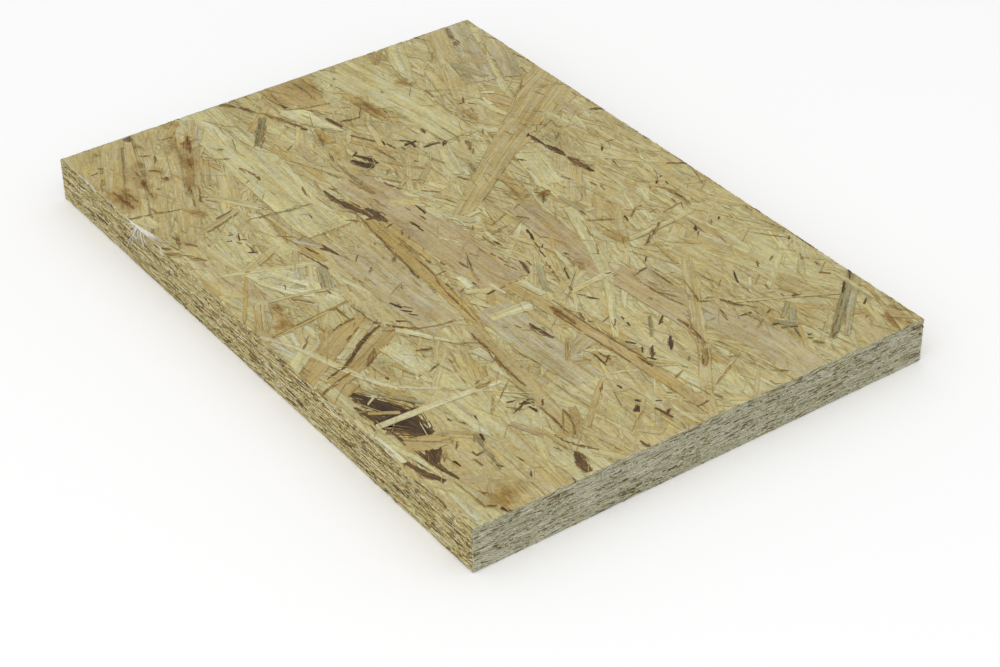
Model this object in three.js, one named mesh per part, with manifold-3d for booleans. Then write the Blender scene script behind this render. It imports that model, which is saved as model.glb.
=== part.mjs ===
// A square-cut sample of oriented strand board (OSB), lying flat.
// It is one pressed panel: +X runs across its width, +Y along its length and +Z through its
// thickness, and the origin is under its middle, on the underside. Sizes are in millimetres.

import * as THREE from 'three'
import { mergeVertices } from 'three/addons/utils/BufferGeometryUtils.js'
import Module from 'manifold-3d'

// The panel as it comes off the saw.
const panelLength = 278
const panelWidth = 193
const panelThickness = 18

// The pressed strands lie in layers, and the open slits in a sawn edge lie between two layers.
const layerThickness = 0.75
const slitPitch = 9
const slitLengthMin = 2.5
const slitLengthMax = 9
const slitHeightMin = 0.45
const slitHeightMax = 1.0
const slitDepthMin = 1.5
const slitDepthMax = 4
const slitCover = 1.4

// Where a surface strand ends on the one below it, the face has a ramp that stops at a small step.
const rampPitch = 30
const rampLengthMin = 18
const rampLengthMax = 52
const rampWidthMin = 3.5
const rampWidthMax = 13
const rampDepthMin = 0.22
const rampDepthMax = 0.5
const rampSpreadDegrees = 60

// Small pieces that the saw broke out of the long arrises of both faces.
const chipPitch = 31
const chipLengthMin = 2.5
const chipLengthMax = 7
const chipReachMin = 0.35
const chipReachMax = 0.8
const cornerKeep = 12

// The middle of every face stays whole, as a flat pad to rest on or to fasten through.
const padRadius = 7

// Cutters stand this far out of the surface that they open.
const cutterLift = 1
const rampLeadIn = 0.04

const randomSeed = 20
const boardColor = 0xcdbe8c

const wasm = await Module()
wasm.setup()

// A repeatable stream of numbers from 0 to 1.
function seededRandom(seed) {
  let state = seed
  return () => {
    state = (state + 0x6d2b79f5) | 0
    let mixed = Math.imul(state ^ (state >>> 15), 1 | state)
    mixed = (mixed + Math.imul(mixed ^ (mixed >>> 7), 61 | mixed)) ^ mixed
    return ((mixed ^ (mixed >>> 14)) >>> 0) / 4294967296
  }
}

const random = seededRandom(randomSeed)
const between = (low, high) => low + (high - low) * random()

function solidOf(geometry) {
  geometry.deleteAttribute('normal')
  geometry.deleteAttribute('uv')
  const merged = mergeVertices(geometry, 1e-5)
  return new wasm.Manifold(new wasm.Mesh({
    numProp: 3,
    vertProperties: new Float32Array(merged.attributes.position.array),
    triVerts: new Uint32Array(merged.index.array),
  }))
}

function geometryOf(solid) {
  const mesh = solid.getMesh()
  const geometry = new THREE.BufferGeometry()
  geometry.setAttribute('position', new THREE.BufferAttribute(mesh.vertProperties, 3))
  geometry.setIndex(new THREE.BufferAttribute(mesh.triVerts, 1))
  geometry.computeVertexNormals()
  return geometry
}

// The four sawn edges: where the middle of each lies, the way it faces and its run.
const sawnEdges = [
  { outward: new THREE.Vector3(-1, 0, 0), offset: panelWidth / 2, run: panelLength },
  { outward: new THREE.Vector3(1, 0, 0), offset: panelWidth / 2, run: panelLength },
  { outward: new THREE.Vector3(0, -1, 0), offset: panelLength / 2, run: panelWidth },
  { outward: new THREE.Vector3(0, 1, 0), offset: panelLength / 2, run: panelWidth },
]

// Places a cutter made along +X, with -Y as its way out, on a sawn edge.
function placeOnEdge(geometry, edge, along, height) {
  geometry.rotateZ(Math.atan2(edge.outward.x, -edge.outward.y))
  const alongEdge = new THREE.Vector3(-edge.outward.y, edge.outward.x, 0)
  const place = edge.outward.clone().multiplyScalar(edge.offset)
  place.addScaledVector(alongEdge, along)
  geometry.translate(place.x, place.y, place.z + height)
  return geometry
}

// A flat lens that tapers away into the panel.
function slitCutter(edge) {
  const length = between(slitLengthMin, slitLengthMax)
  const along = between(-0.5, 0.5) * (edge.run - 2 * cornerKeep)
  const layers = Math.floor((panelThickness - 2 * slitCover) / layerThickness)
  const layer = Math.floor(between(0, layers + 1))
  const height = panelThickness / 2 + (layer - layers / 2) * layerThickness
  const geometry = new THREE.SphereGeometry(1, 6, 4)
  geometry.rotateX(Math.PI / 2)
  geometry.scale(length / 2, between(slitDepthMin, slitDepthMax), between(slitHeightMin, slitHeightMax) / 2)
  geometry.rotateY(between(-0.03, 0.03))
  if (Math.abs(along) < padRadius + length / 2) return null
  return solidOf(placeOnEdge(geometry, edge, along, height))
}

// A splinter out of the arris between a sawn edge and the top or the underside.
function chipCutter(edge) {
  const length = between(chipLengthMin, chipLengthMax)
  const reach = between(chipReachMin, chipReachMax)
  const along = between(-0.5, 0.5) * (edge.run - 2 * cornerKeep)
  const height = random() < 0.5 ? 0 : panelThickness
  const geometry = new THREE.SphereGeometry(1, 5, 4)
  geometry.rotateX(between(0.2, 0.5))
  geometry.scale(length / 2, reach, between(chipReachMin, reach))
  return solidOf(placeOnEdge(geometry, edge, along, height))
}

// The outline of a strand's end: straight sides and a broken tip of three teeth.
function strandOutline(length, width) {
  const half = width / 2
  const outline = new THREE.Shape()
  outline.moveTo(0, -half)
  outline.lineTo(length - between(0, width), -half)
  outline.lineTo(length, -half * between(0.3, 0.6))
  outline.lineTo(length - between(0.3, 0.9) * half, half * between(-0.2, 0.1))
  outline.lineTo(length - between(0, 0.3) * half, half * between(0.4, 0.7))
  outline.lineTo(length - between(0.5, 2) * half, half)
  outline.lineTo(0, half * between(0.5, 1))
  return outline
}

// Whether a strand of this size and place reaches into the flat pad in the middle of a face.
function coversPad(x, y, turn, length, width) {
  const along = Math.abs(x * Math.cos(turn) + y * Math.sin(turn)) - length / 2
  const across = Math.abs(y * Math.cos(turn) - x * Math.sin(turn)) - width / 2
  return Math.hypot(Math.max(along, 0), Math.max(across, 0)) < padRadius
}

// A wedge that enters a face at a slant and ends at a strand's broken tip.
function rampCutter(face) {
  const length = between(rampLengthMin, rampLengthMax)
  const width = between(rampWidthMin, rampWidthMax)
  const depth = between(rampDepthMin, rampDepthMax)
  const spread = THREE.MathUtils.degToRad(between(-rampSpreadDegrees, rampSpreadDegrees))
  const turn = spread + (random() < 0.5 ? 0.5 : 1.5) * Math.PI
  const x = between(-0.5, 0.5) * panelWidth
  const y = between(-0.5, 0.5) * panelLength
  if (coversPad(x, y, turn, length, width)) return null
  const outline = strandOutline(length, width)
  const geometry = new THREE.ExtrudeGeometry(outline, { depth: depth + cutterLift, bevelEnabled: false })
  geometry.rotateY(Math.atan((depth + rampLeadIn) / length))
  geometry.translate(-length / 2, 0, rampLeadIn)
  geometry.rotateZ(turn)
  geometry.translate(x, y, 0)
  if (face === 'underside') geometry.rotateY(Math.PI)
  if (face === 'top') geometry.translate(0, 0, panelThickness)
  return solidOf(geometry)
}

// As many cutters as the run or the area of a face calls for.
function repeat(count, makeCutter) {
  const cutters = Array.from({ length: Math.round(count) }, makeCutter)
  return cutters.filter((cutter) => cutter !== null)
}

function panelCutters() {
  const perFace = (panelLength * panelWidth) / rampPitch ** 2
  const slits = sawnEdges.flatMap((edge) => repeat(edge.run / slitPitch, () => slitCutter(edge)))
  const chips = sawnEdges.flatMap((edge) => repeat(edge.run / chipPitch, () => chipCutter(edge)))
  const ramps = ['top', 'underside'].flatMap((face) => repeat(perFace, () => rampCutter(face)))
  return [...slits, ...chips, ...ramps]
}

function osbPanel() {
  const blank = new THREE.BoxGeometry(panelWidth, panelLength, panelThickness)
  blank.translate(0, 0, panelThickness / 2)
  const openings = panelCutters().reduce((joined, cutter) => joined.add(cutter))
  const material = new THREE.MeshStandardMaterial({ color: boardColor, roughness: 0.85, metalness: 0 })
  const panel = new THREE.Mesh(geometryOf(solidOf(blank).subtract(openings)), material)
  panel.name = 'osb_panel'
  return panel
}

const group = new THREE.Group()
group.add(osbPanel())

export default group
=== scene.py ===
import math
import bmesh
import bpy
import numpy as np
from mathutils import Matrix, Vector, noise


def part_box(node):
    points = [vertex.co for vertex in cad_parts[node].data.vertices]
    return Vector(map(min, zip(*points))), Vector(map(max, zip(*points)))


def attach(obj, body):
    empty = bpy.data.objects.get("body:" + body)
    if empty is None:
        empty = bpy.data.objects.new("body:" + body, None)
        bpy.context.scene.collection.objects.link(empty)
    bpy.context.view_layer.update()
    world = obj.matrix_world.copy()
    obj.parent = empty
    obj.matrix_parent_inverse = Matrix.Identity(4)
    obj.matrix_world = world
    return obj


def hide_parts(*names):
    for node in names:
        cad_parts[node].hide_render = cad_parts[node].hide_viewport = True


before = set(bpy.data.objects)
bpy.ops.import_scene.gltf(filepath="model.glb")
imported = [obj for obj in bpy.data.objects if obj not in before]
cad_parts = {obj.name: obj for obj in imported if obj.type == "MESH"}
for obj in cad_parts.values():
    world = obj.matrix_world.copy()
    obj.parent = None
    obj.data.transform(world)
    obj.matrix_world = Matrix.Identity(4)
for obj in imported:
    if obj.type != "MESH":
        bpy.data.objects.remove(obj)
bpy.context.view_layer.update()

mm = 0.001
grainSpread = 997  # the grain patterns of two strands lie up to this many millimetres apart in the noise
noiseLow, noiseHigh = 0.3, 0.7  # nearly all of a noise pattern's values lie between these

boardLow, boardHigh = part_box("osb_panel")
boardSize = boardHigh - boardLow
halfWidth, halfLength = boardSize.x / 2, boardSize.y / 2
print("board", [round(side / mm, 1) for side in boardSize], "mm")


def linearColor(hexCode):
    channels = [int(hexCode[i:i + 2], 16) / 255 for i in (1, 3, 5)]
    return [c / 12.92 if c <= 0.04045 else ((c + 0.055) / 1.055) ** 2.4 for c in channels] + [1.0]


def addNode(tree, kind, inputs=None, stops=None, **settings):
    # inputs are found by name, or by number among the sockets that are in use
    node = tree.nodes.new(kind)
    for name, value in settings.items():
        setattr(node, name, value)
    usedSockets = [socket for socket in node.inputs if socket.enabled]
    for key, value in (inputs or {}).items():
        if isinstance(key, int):
            socket = usedSockets[key]
        else:
            socket = next(s for s in usedSockets if s.name == key)
        if isinstance(value, bpy.types.Node):
            value = next(s for s in value.outputs if s.enabled)
        if isinstance(value, bpy.types.NodeSocket):
            tree.links.new(value, socket)
        else:
            socket.default_value = value
    if stops:
        ramp = node.color_ramp
        while len(ramp.elements) < len(stops):
            ramp.elements.new(0.5)
        for element, (place, color) in zip(ramp.elements, stops):
            element.position = place
            element.color = linearColor(color) if isinstance(color, str) else (*color, 1)
    return node


def newMaterial(name):
    material = bpy.data.materials.new(name)
    material.use_nodes = True
    material.node_tree.nodes.clear()
    return material


def meshObject(name, points, faces, attributes=None):
    mesh = bpy.data.meshes.new(name)
    mesh.from_pydata([tuple(p) for p in points], [], faces)
    for label, (kind, domain, values) in (attributes or {}).items():
        layer = mesh.attributes.new(label, kind, domain)
        field = "vector" if kind in ("FLOAT_VECTOR", "FLOAT2") else "value"
        layer.data.foreach_set(field, np.array(values, int if kind == "INT" else float).ravel())
    mesh.update()
    item = bpy.data.objects.new(name, mesh)
    bpy.context.collection.objects.link(item)
    return item


def lensMesh(outline, spine, hooks, crown, keel):
    # a closed lens: each outline point is hooked to a spine above and to a keel below
    count, ribs = len(outline), len(spine)
    points = [(x, y, 0) for x, y in outline]
    points += [(x, y, crown) for x, y in spine] + [(x, y, -keel) for x, y in spine]
    faces = []

    def close(rim, chain):
        faces.append(rim + [count + k for k in chain])
        for i, j in zip(rim, rim[1:]):
            faces.append([j, i] + [count + ribs + k for k in chain[::-1]])

    start = next(i for i in range(count) if hooks[i] != hooks[i - 1])
    rim = [start]
    for i in range(start, start + count):
        here, after = hooks[i % count], hooks[(i + 1) % count]
        if here != after:
            if len(rim) > 1:
                close(rim, [here])
            way = 1 if here > after else -1
            close([i % count, (i + 1) % count], list(range(after, here + way, way)))
            rim = []
        rim.append((i + 1) % count)
    return points, faces


# Loose strand shapes of unit length and width, with torn ends, to be strewn by the tree below.
looseShapes = {
    "flake": {"count": 12, "bands": 5, "sidePoints": 7, "tooth": 0.05, "bend": 0.05, "seed": 23},
    "sliver": {"count": 16, "bands": 1, "sidePoints": 5, "tooth": 0.3, "bend": 0.5, "seed": 27},
    "strip": {"count": 10, "bands": 1, "sidePoints": 2, "tooth": 0.15, "bend": 0.5, "seed": 21},
}
looseSway, looseCrown = 0.16, 0.05  # how far the sides wander, and how high the middle stands


def looseOutline(rng, bands, sidePoints, tooth):
    # anticlockwise: x, y and the share of the way to the side; each band of fibres ends in one tooth
    steps = np.linspace(tooth - 0.5, 0.5 - tooth, sidePoints)
    outline = [(x, -0.5 + rng.uniform(0, looseSway), -1) for x in steps]
    cuts = np.linspace(-0.5, 0.5, bands + 1)
    for side in (1, -1):
        for band in range(bands):
            tip = cuts[band] + rng.uniform(0.2, 0.8) / bands
            outline.append((side * (0.5 - tooth * rng.uniform(0, 0.7)), side * tip, 2 * side * tip))
            if band < bands - 1:
                notch = side * cuts[band + 1]
                outline.append((side * (0.5 - tooth * rng.uniform(0.7, 1)), notch, 2 * notch))
        if side == 1:
            outline += [(x, 0.5 - rng.uniform(0, looseSway), 1) for x in steps[::-1]]
    return outline


def shapesMesh(name, look):
    # all the shapes of one kind in one mesh, each marked with its number
    sidePoints, tooth = look["sidePoints"], look["tooth"]
    rng = np.random.default_rng(look["seed"])
    points, faces, sides, numbers = [], [], [], []
    for number in range(look["count"]):
        bend = rng.uniform(-look["bend"], look["bend"])
        outline = looseOutline(rng, look["bands"], sidePoints, tooth)
        ribs = np.linspace(1.6 * tooth - 0.5, 0.5 - 1.6 * tooth, sidePoints // 2 + 1)
        hooks = [int(np.argmin(abs(ribs - x))) for x, y, side in outline]
        rim = [(x, y + bend * (4 * x * x - 0.5)) for x, y, side in outline]
        spine = [(x, bend * (4 * x * x - 0.5)) for x in ribs]
        part, partFaces = lensMesh(rim, spine, hooks, looseCrown, 1)
        faces += [[i + len(points) for i in face] for face in partFaces]
        numbers += [number] * len(partFaces)
        points += part
        sides += [side for x, y, side in outline] + [0.0] * (2 * len(spine))
    return meshObject(name, points, faces, {
        "side": ("FLOAT", "POINT", sides),
        "shape": ("INT", "FACE", numbers),
    })


def strewTree():
    # strews strands over a flat region, lowest first, and gives each its grain, tone and side distance
    tree = bpy.data.node_groups.new("strewStrands", "GeometryNodeTree")
    sockets = {
        "Geometry": "Shapes",
        "Int": "Count, Seed, Shape Count",
        "Vector": "Lowest, Highest, Place",
        "Float": "Length Min, Length Max, Width Min, Width Max, Small Share, Thickness, Turn, Turn Spread, "
                 "Tilt, Tone Low, Tone High, Drift, Drift Size, Dark Share, Dark Low, Dark High, Border, "
                 "Map Low, Map High",
        "Rotation": "Facing",
        "Material": "Material",
    }
    for kind, names in sockets.items():
        for name in names.split(", "):
            tree.interface.new_socket(name, in_out="INPUT", socket_type="NodeSocket" + kind)
    tree.interface.new_socket("Strands", in_out="OUTPUT", socket_type="NodeSocketGeometry")
    given = addNode(tree, "NodeGroupInput").outputs
    seeds = [addNode(tree, "FunctionNodeIntegerMath", {0: given["Seed"], 1: k}) for k in range(9)]

    # where each strand lies, how it is turned and how big it is
    place = addNode(tree, "FunctionNodeRandomValue", {
        "Min": given["Lowest"], "Max": given["Highest"], "Seed": seeds[0]}, data_type="FLOAT_VECTOR")
    swing = addNode(tree, "FunctionNodeRandomValue", {
        "Min": (-1, -1, -1), "Max": (1, 1, 1), "Seed": seeds[1]}, data_type="FLOAT_VECTOR")
    lean = addNode(tree, "ShaderNodeVectorMath", {0: swing, 1: (1, 1, 1)}, operation="DOT_PRODUCT")
    turn = addNode(tree, "ShaderNodeMath", {
        0: lean.outputs["Value"], 1: given["Turn Spread"], 2: given["Turn"]}, operation="MULTIPLY_ADD")
    rock = addNode(tree, "ShaderNodeVectorMath", {0: swing, "Scale": given["Tilt"]}, operation="SCALE")
    rock = addNode(tree, "ShaderNodeSeparateXYZ", {0: rock}).outputs
    spin = addNode(tree, "ShaderNodeCombineXYZ", {0: rock["X"], 1: rock["Y"], 2: turn})
    spin = addNode(tree, "FunctionNodeEulerToRotation", {0: spin})
    sides = []
    for side, seed in (("Length", seeds[2]), ("Width", seeds[3])):
        share = addNode(tree, "ShaderNodeMath", {
            0: addNode(tree, "FunctionNodeRandomValue", {"Seed": seed}), 1: given["Small Share"],
        }, operation="POWER")
        sides.append(addNode(tree, "ShaderNodeMapRange", {
            0: share, 1: 0, 2: 1, 3: given[side + " Min"], 4: given[side + " Max"]}))
    size = addNode(tree, "ShaderNodeCombineXYZ", {0: sides[0], 1: sides[1], 2: given["Thickness"]})
    lastShape = addNode(tree, "FunctionNodeIntegerMath", {0: given["Shape Count"], 1: 1},
                        operation="SUBTRACT")
    shape = addNode(tree, "FunctionNodeRandomValue", {
        "Min": 0, "Max": lastShape, "Seed": seeds[4]}, data_type="INT")

    # neighbours share some of their tone, and a few strands are dark
    drift = addNode(tree, "ShaderNodeVectorMath", {0: place, 1: given["Drift Size"]}, operation="DIVIDE")
    drift = addNode(tree, "ShaderNodeTexNoise", {"Vector": drift, "Scale": 1.0, "Detail": 1.0})
    drift = addNode(tree, "ShaderNodeMapRange", {
        0: drift, 1: noiseLow, 2: noiseHigh, 3: given["Tone Low"], 4: given["Tone High"]})
    tone = addNode(tree, "FunctionNodeRandomValue", {
        "Min": given["Tone Low"], "Max": given["Tone High"], "Seed": seeds[5]})
    tone = addNode(tree, "ShaderNodeMix", {0: given["Drift"], 1: tone, 2: drift}, data_type="FLOAT")
    isDark = addNode(tree, "FunctionNodeRandomValue", {
        "Probability": given["Dark Share"], "Seed": seeds[6]}, data_type="BOOLEAN")
    darkTone = addNode(tree, "FunctionNodeRandomValue", {
        "Min": given["Dark Low"], "Max": given["Dark High"], "Seed": seeds[7]})
    tone = addNode(tree, "GeometryNodeSwitch", {0: isDark, 1: tone, 2: darkTone}, input_type="FLOAT")
    chance = addNode(tree, "FunctionNodeRandomValue", {"Seed": seeds[8]})

    points = addNode(tree, "GeometryNodePoints", {"Count": given["Count"], "Position": place})
    number = addNode(tree, "GeometryNodeInputNamedAttribute", {"Name": "shape"}, data_type="INT")
    shapes = addNode(tree, "GeometryNodeSplitToInstances", {"Geometry": given["Shapes"], "Group ID": number},
                     domain="FACE")
    strands = addNode(tree, "GeometryNodeInstanceOnPoints", {
        "Points": points, "Instance": shapes, "Pick Instance": True, "Instance Index": shape,
        "Rotation": spin, "Scale": size,
    })
    heading = addNode(tree, "ShaderNodeVectorRotate", {"Vector": (1, 0, 0), "Angle": turn},
                      rotation_type="Z_AXIS")
    half = addNode(tree, "ShaderNodeMath", {0: sides[1], 1: 0.5 / mm}, operation="MULTIPLY")
    notes = {
        "heart": ("FLOAT_VECTOR", place), "heading": ("FLOAT_VECTOR", heading), "halfWidth": ("FLOAT", half),
        "tone": ("FLOAT", tone), "chance": ("FLOAT", chance),
    }
    for name, (kind, value) in notes.items():
        strands = addNode(tree, "GeometryNodeStoreNamedAttribute", {
            "Geometry": strands, "Name": name, "Value": value}, data_type=kind, domain="INSTANCE")
    spot = addNode(tree, "GeometryNodeInputPosition")
    height = addNode(tree, "ShaderNodeSeparateXYZ", {0: spot}).outputs["Z"]
    strands = addNode(tree, "GeometryNodeSortElements", {"Geometry": strands, "Sort Weight": height},
                      domain="INSTANCE")
    strands = addNode(tree, "GeometryNodeRealizeInstances", {"Geometry": strands})
    noted = {name: addNode(tree, "GeometryNodeInputNamedAttribute", {"Name": name}, data_type=notes[name][0])
             for name in ("heart", "heading", "chance")}

    # strands that cross the border end at the saw cut
    rough = addNode(tree, "ShaderNodeMath", {0: noted["chance"], 1: given["Border"]}, operation="MULTIPLY")
    inward = addNode(tree, "ShaderNodeCombineXYZ", {0: rough, 1: rough, 2: -1})
    low = addNode(tree, "ShaderNodeVectorMath", {0: given["Lowest"], 1: inward}, operation="ADD")
    high = addNode(tree, "ShaderNodeVectorMath", {0: given["Highest"], 1: inward}, operation="SUBTRACT")
    sawn = addNode(tree, "ShaderNodeVectorMath", {0: spot, 1: low}, operation="MAXIMUM")
    sawn = addNode(tree, "ShaderNodeVectorMath", {0: sawn, 1: high}, operation="MINIMUM")
    strands = addNode(tree, "GeometryNodeSetPosition", {"Geometry": strands, "Position": sawn})

    # grain runs along each strand, in millimetres
    offset = addNode(tree, "ShaderNodeVectorMath", {0: spot, 1: noted["heart"]}, operation="SUBTRACT")
    across = addNode(tree, "ShaderNodeVectorRotate", {"Vector": noted["heading"], "Angle": math.pi / 2},
                     rotation_type="Z_AXIS")
    along, aside = (addNode(tree, "ShaderNodeVectorMath", {0: offset, 1: way}, operation="DOT_PRODUCT")
                    for way in (noted["heading"], across))
    grain = addNode(tree, "ShaderNodeCombineXYZ", {
        0: along.outputs["Value"], 1: aside.outputs["Value"], 2: noted["chance"]})
    grain = addNode(tree, "ShaderNodeVectorMath", {0: grain, 1: (1 / mm, 1 / mm, grainSpread)},
                    operation="MULTIPLY")

    # the baking map is the face itself, laid flat
    region = addNode(tree, "ShaderNodeVectorMath", {0: given["Highest"], 1: given["Lowest"]},
                     operation="SUBTRACT")
    flat = addNode(tree, "ShaderNodeVectorMath", {0: spot, 1: given["Lowest"]}, operation="SUBTRACT")
    flat = addNode(tree, "ShaderNodeVectorMath", {0: flat, 1: region}, operation="DIVIDE")
    flat = addNode(tree, "ShaderNodeSeparateXYZ", {0: flat}).outputs
    rise = addNode(tree, "ShaderNodeMapRange", {
        0: flat["Y"], 1: 0, 2: 1, 3: given["Map Low"], 4: given["Map High"]})
    flat = addNode(tree, "ShaderNodeCombineXYZ", {0: flat["X"], 1: rise})
    for name, kind, domain, value in (("grain", "FLOAT_VECTOR", "POINT", grain),
                                      ("OFBake", "FLOAT2", "CORNER", flat)):
        strands = addNode(tree, "GeometryNodeStoreNamedAttribute", {
            "Geometry": strands, "Name": name, "Value": value}, data_type=kind, domain=domain)
    strands = addNode(tree, "GeometryNodeTransform", {
        "Geometry": strands, "Translation": given["Place"], "Rotation": given["Facing"]})
    strands = addNode(tree, "GeometryNodeSetMaterial", {"Geometry": strands, "Material": given["Material"]})
    tree.links.new(strands.outputs[0], addNode(tree, "NodeGroupOutput").inputs[0])
    return tree


def strewn(name, shapes, settings):
    # runs the tree on the shapes and returns the result as a plain mesh object
    modifier = shapes.modifiers.new("strew", "NODES")
    modifier.node_group = strew
    for item in strew.interface.items_tree:
        if item.in_out == "INPUT" and item.name in settings:
            modifier[item.identifier] = settings[item.name]
    shapes.update_tag()
    bpy.context.view_layer.update()
    evaluated = shapes.evaluated_get(bpy.context.evaluated_depsgraph_get())
    mesh = bpy.data.meshes.new_from_object(evaluated)
    mesh.name = name
    shapes.modifiers.remove(modifier)
    piece = bpy.data.objects.new(name, mesh)
    bpy.context.collection.objects.link(piece)
    print("strewn", name, len(mesh.polygons), "faces")
    return piece


strew = strewTree()
shapeMeshes = {name: shapesMesh(name, look) for name, look in looseShapes.items()}
print("loose shapes made")
# The shades that pine strands take: bark and resin to clean sapwood, then the cool and the reddish ones.
strandShades = {
    "char": "#342717", "bark": "#513e24", "brown": "#6b5330", "umber": "#87693a", "ochre": "#9c8148",
    "amber": "#b0995a", "oak": "#b09a60", "tan": "#b4a36c", "straw": "#b9a972", "pale": "#bcb27c",
    "white": "#c7bf8c", "bare": "#cdc9ac", "blue": "#bbb690", "shell": "#b2a577", "pink": "#b19d6d",
    "grey": "#a39a6f", "olive": "#92885b",
}


def shadePlaces(shades):
    # where each shade stands on its colour ramp
    return {name: (i + 0.5) / len(shades) for i, name in enumerate(shades)}


shadePlace = shadePlaces(strandShades)

# Thin wood darkens to gold before it darkens to brown: how red, green and blue follow the lightness,
# from none at 0 to this many times the strand's own lightness at 1.
brightest = 1.5
goldenCurve = [
    (0.0, (0.02, 0.015, 0.01)), (0.1, (0.17, 0.15, 0.13)), (0.23, (0.42, 0.35, 0.27)),
    (0.4, (0.68, 0.6, 0.46)), (0.667, (1.0, 1.0, 1.0)), (1.0, (1.36, 1.47, 1.72)),
]
# Spots of the same lightness still differ, from greyish sapwood to golden resin.
warmCurve = [(0.0, (0.965, 1.028, 1.34)), (1.0, (1.038, 0.964, 0.76))]

# Pressed pine strands under clear resin: matt, straw to tan, with golden streaks that run along the grain.
# Widths, lengths and sizes are in millimetres; shifts and shares say how strong each pattern is.
faceLook = {
    "shades": strandShades, "light": 1.13, "swayLength": 16.0, "swayWidth": 5.0, "sway": 1.6,
    "bandWidth": 2.6, "bandLength": 60.0, "bandShift": 0.32,
    "ringWidth": 0.9, "ringLength": 26.0, "ringShift": 0.31,
    "fineWidth": 0.35, "fineLength": 6.0, "fineShift": 0.32,
    "mottleSize": 1.3, "mottleShift": 0.36, "cloudSize": 24.0, "cloudShift": 0.34,
    "streakWidth": 0.55, "streakLength": 16.0, "streakShare": 0.48, "fadeSize": 9.0,
    "warmWidth": 2.0, "warmLength": 12.0,
    # the lines along each strand's sides are painted shade of the gaps between strands, partly resin lines
    "resinAndShadeLine": 0.6, "resinAndShadeShare": 0.4, "brokenWidth": 2.0, "brokenLength": 5.0,
    "spotSize": 3.6, "spotStretch": (1.4, 0.75), "spotShare": 0.5, "spotCells": 0.9,
    "roughness": 0.74, "shine": 0.3, "bump": 0.4, "relief": 0.05,
    "stain": "#bc9a54", "golden": goldenCurve, "warm": warmCurve,
}

# Stains of resin and heart wood that soak through several strands: x, y, radii, turn in degrees, strength.
# Noise frays their rims: the size of its waves and how far it pushes, in millimetres.
stainRims = {"size": 3.846, "reach": 12.0}
faceStains = [
    (-91, 97, 5, 9, -8, 0.95), (-81, 112, 5, 9, -8, 0.5), (-88, 103, 3, 5, 0, 0.6),
    (-77, 116, 4, 6, 5, 0.6), (-79, 104, 3.5, 7, -20, 0.85), (-81, 95, 2, 6, -8, 0.5),
    (-90, 58, 6, 8, -20, 0.3), (-72, 109, 5, 4, -30, 0.6), (-69, 101, 4, 4, 0, 0.5),
    (-58, 107, 4.5, 9, -22, 0.85), (-56, 121, 4, 7, -10, 0.6), (-50, 120, 2, 8, -25, 1),
    (-64, 94, 3, 9, -28, 0.6), (-48, 137, 4, 3, 0, 0.6), (-79, -131, 9, 7, 0, 0.8),
    (-80, -125, 10, 14, 10, 0.3), (51, 71, 2, 5, 0, 0.7), (-7, 81, 1.6, 4, -20, 0.5),
    (-23.5, 7, 1.8, 7, -8, 0.6), (-3, -62, 1.2, 8, 4, 0.4), (38.6, 7.4, 3.4, 3, 30, 1),
    (75, 47, 2.5, 4, 0, 0.3), (43, -33, 3, 5, -20, 0.3), (-73, 73, 3, 4, 0, 0.6),
    (-40, -33, 5, 7, 20, 0.3), (20, -40, 3, 4, -10, 0.7), (-82, 2, 1.8, 3.4, 0, 1),
    (-86, -9, 5, 2.6, 0, 0.8), (-4.5, 128, 2, 9, 0, 0.35), (8, 130, 2, 9, 0, 0.5),
    (13, 128, 2, 9, 0, 0.5), (45, 111, 3, 6.6, 0, 0.9), (21.2, 99, 4, 9, 0, 0.6),
    (-50, -79, 4, 2, 10, 0.7), (88, 73, 3, 2.5, 0, 0.5), (-84, -101, 5, 3, 0, 0.5),
    (71, -101, 2.5, 1.5, 0, 0.8), (87, -133, 1.8, 5, -20, 0.4), (9, 129, 5, 10, 0, 0.4),
    (-6.5, 92, 2.5, 5, -20, 0.6), (-10, 60, 5, 6, 0, 0.35), (-12, 44, 5, 8, 0, 0.4),
]


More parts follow.
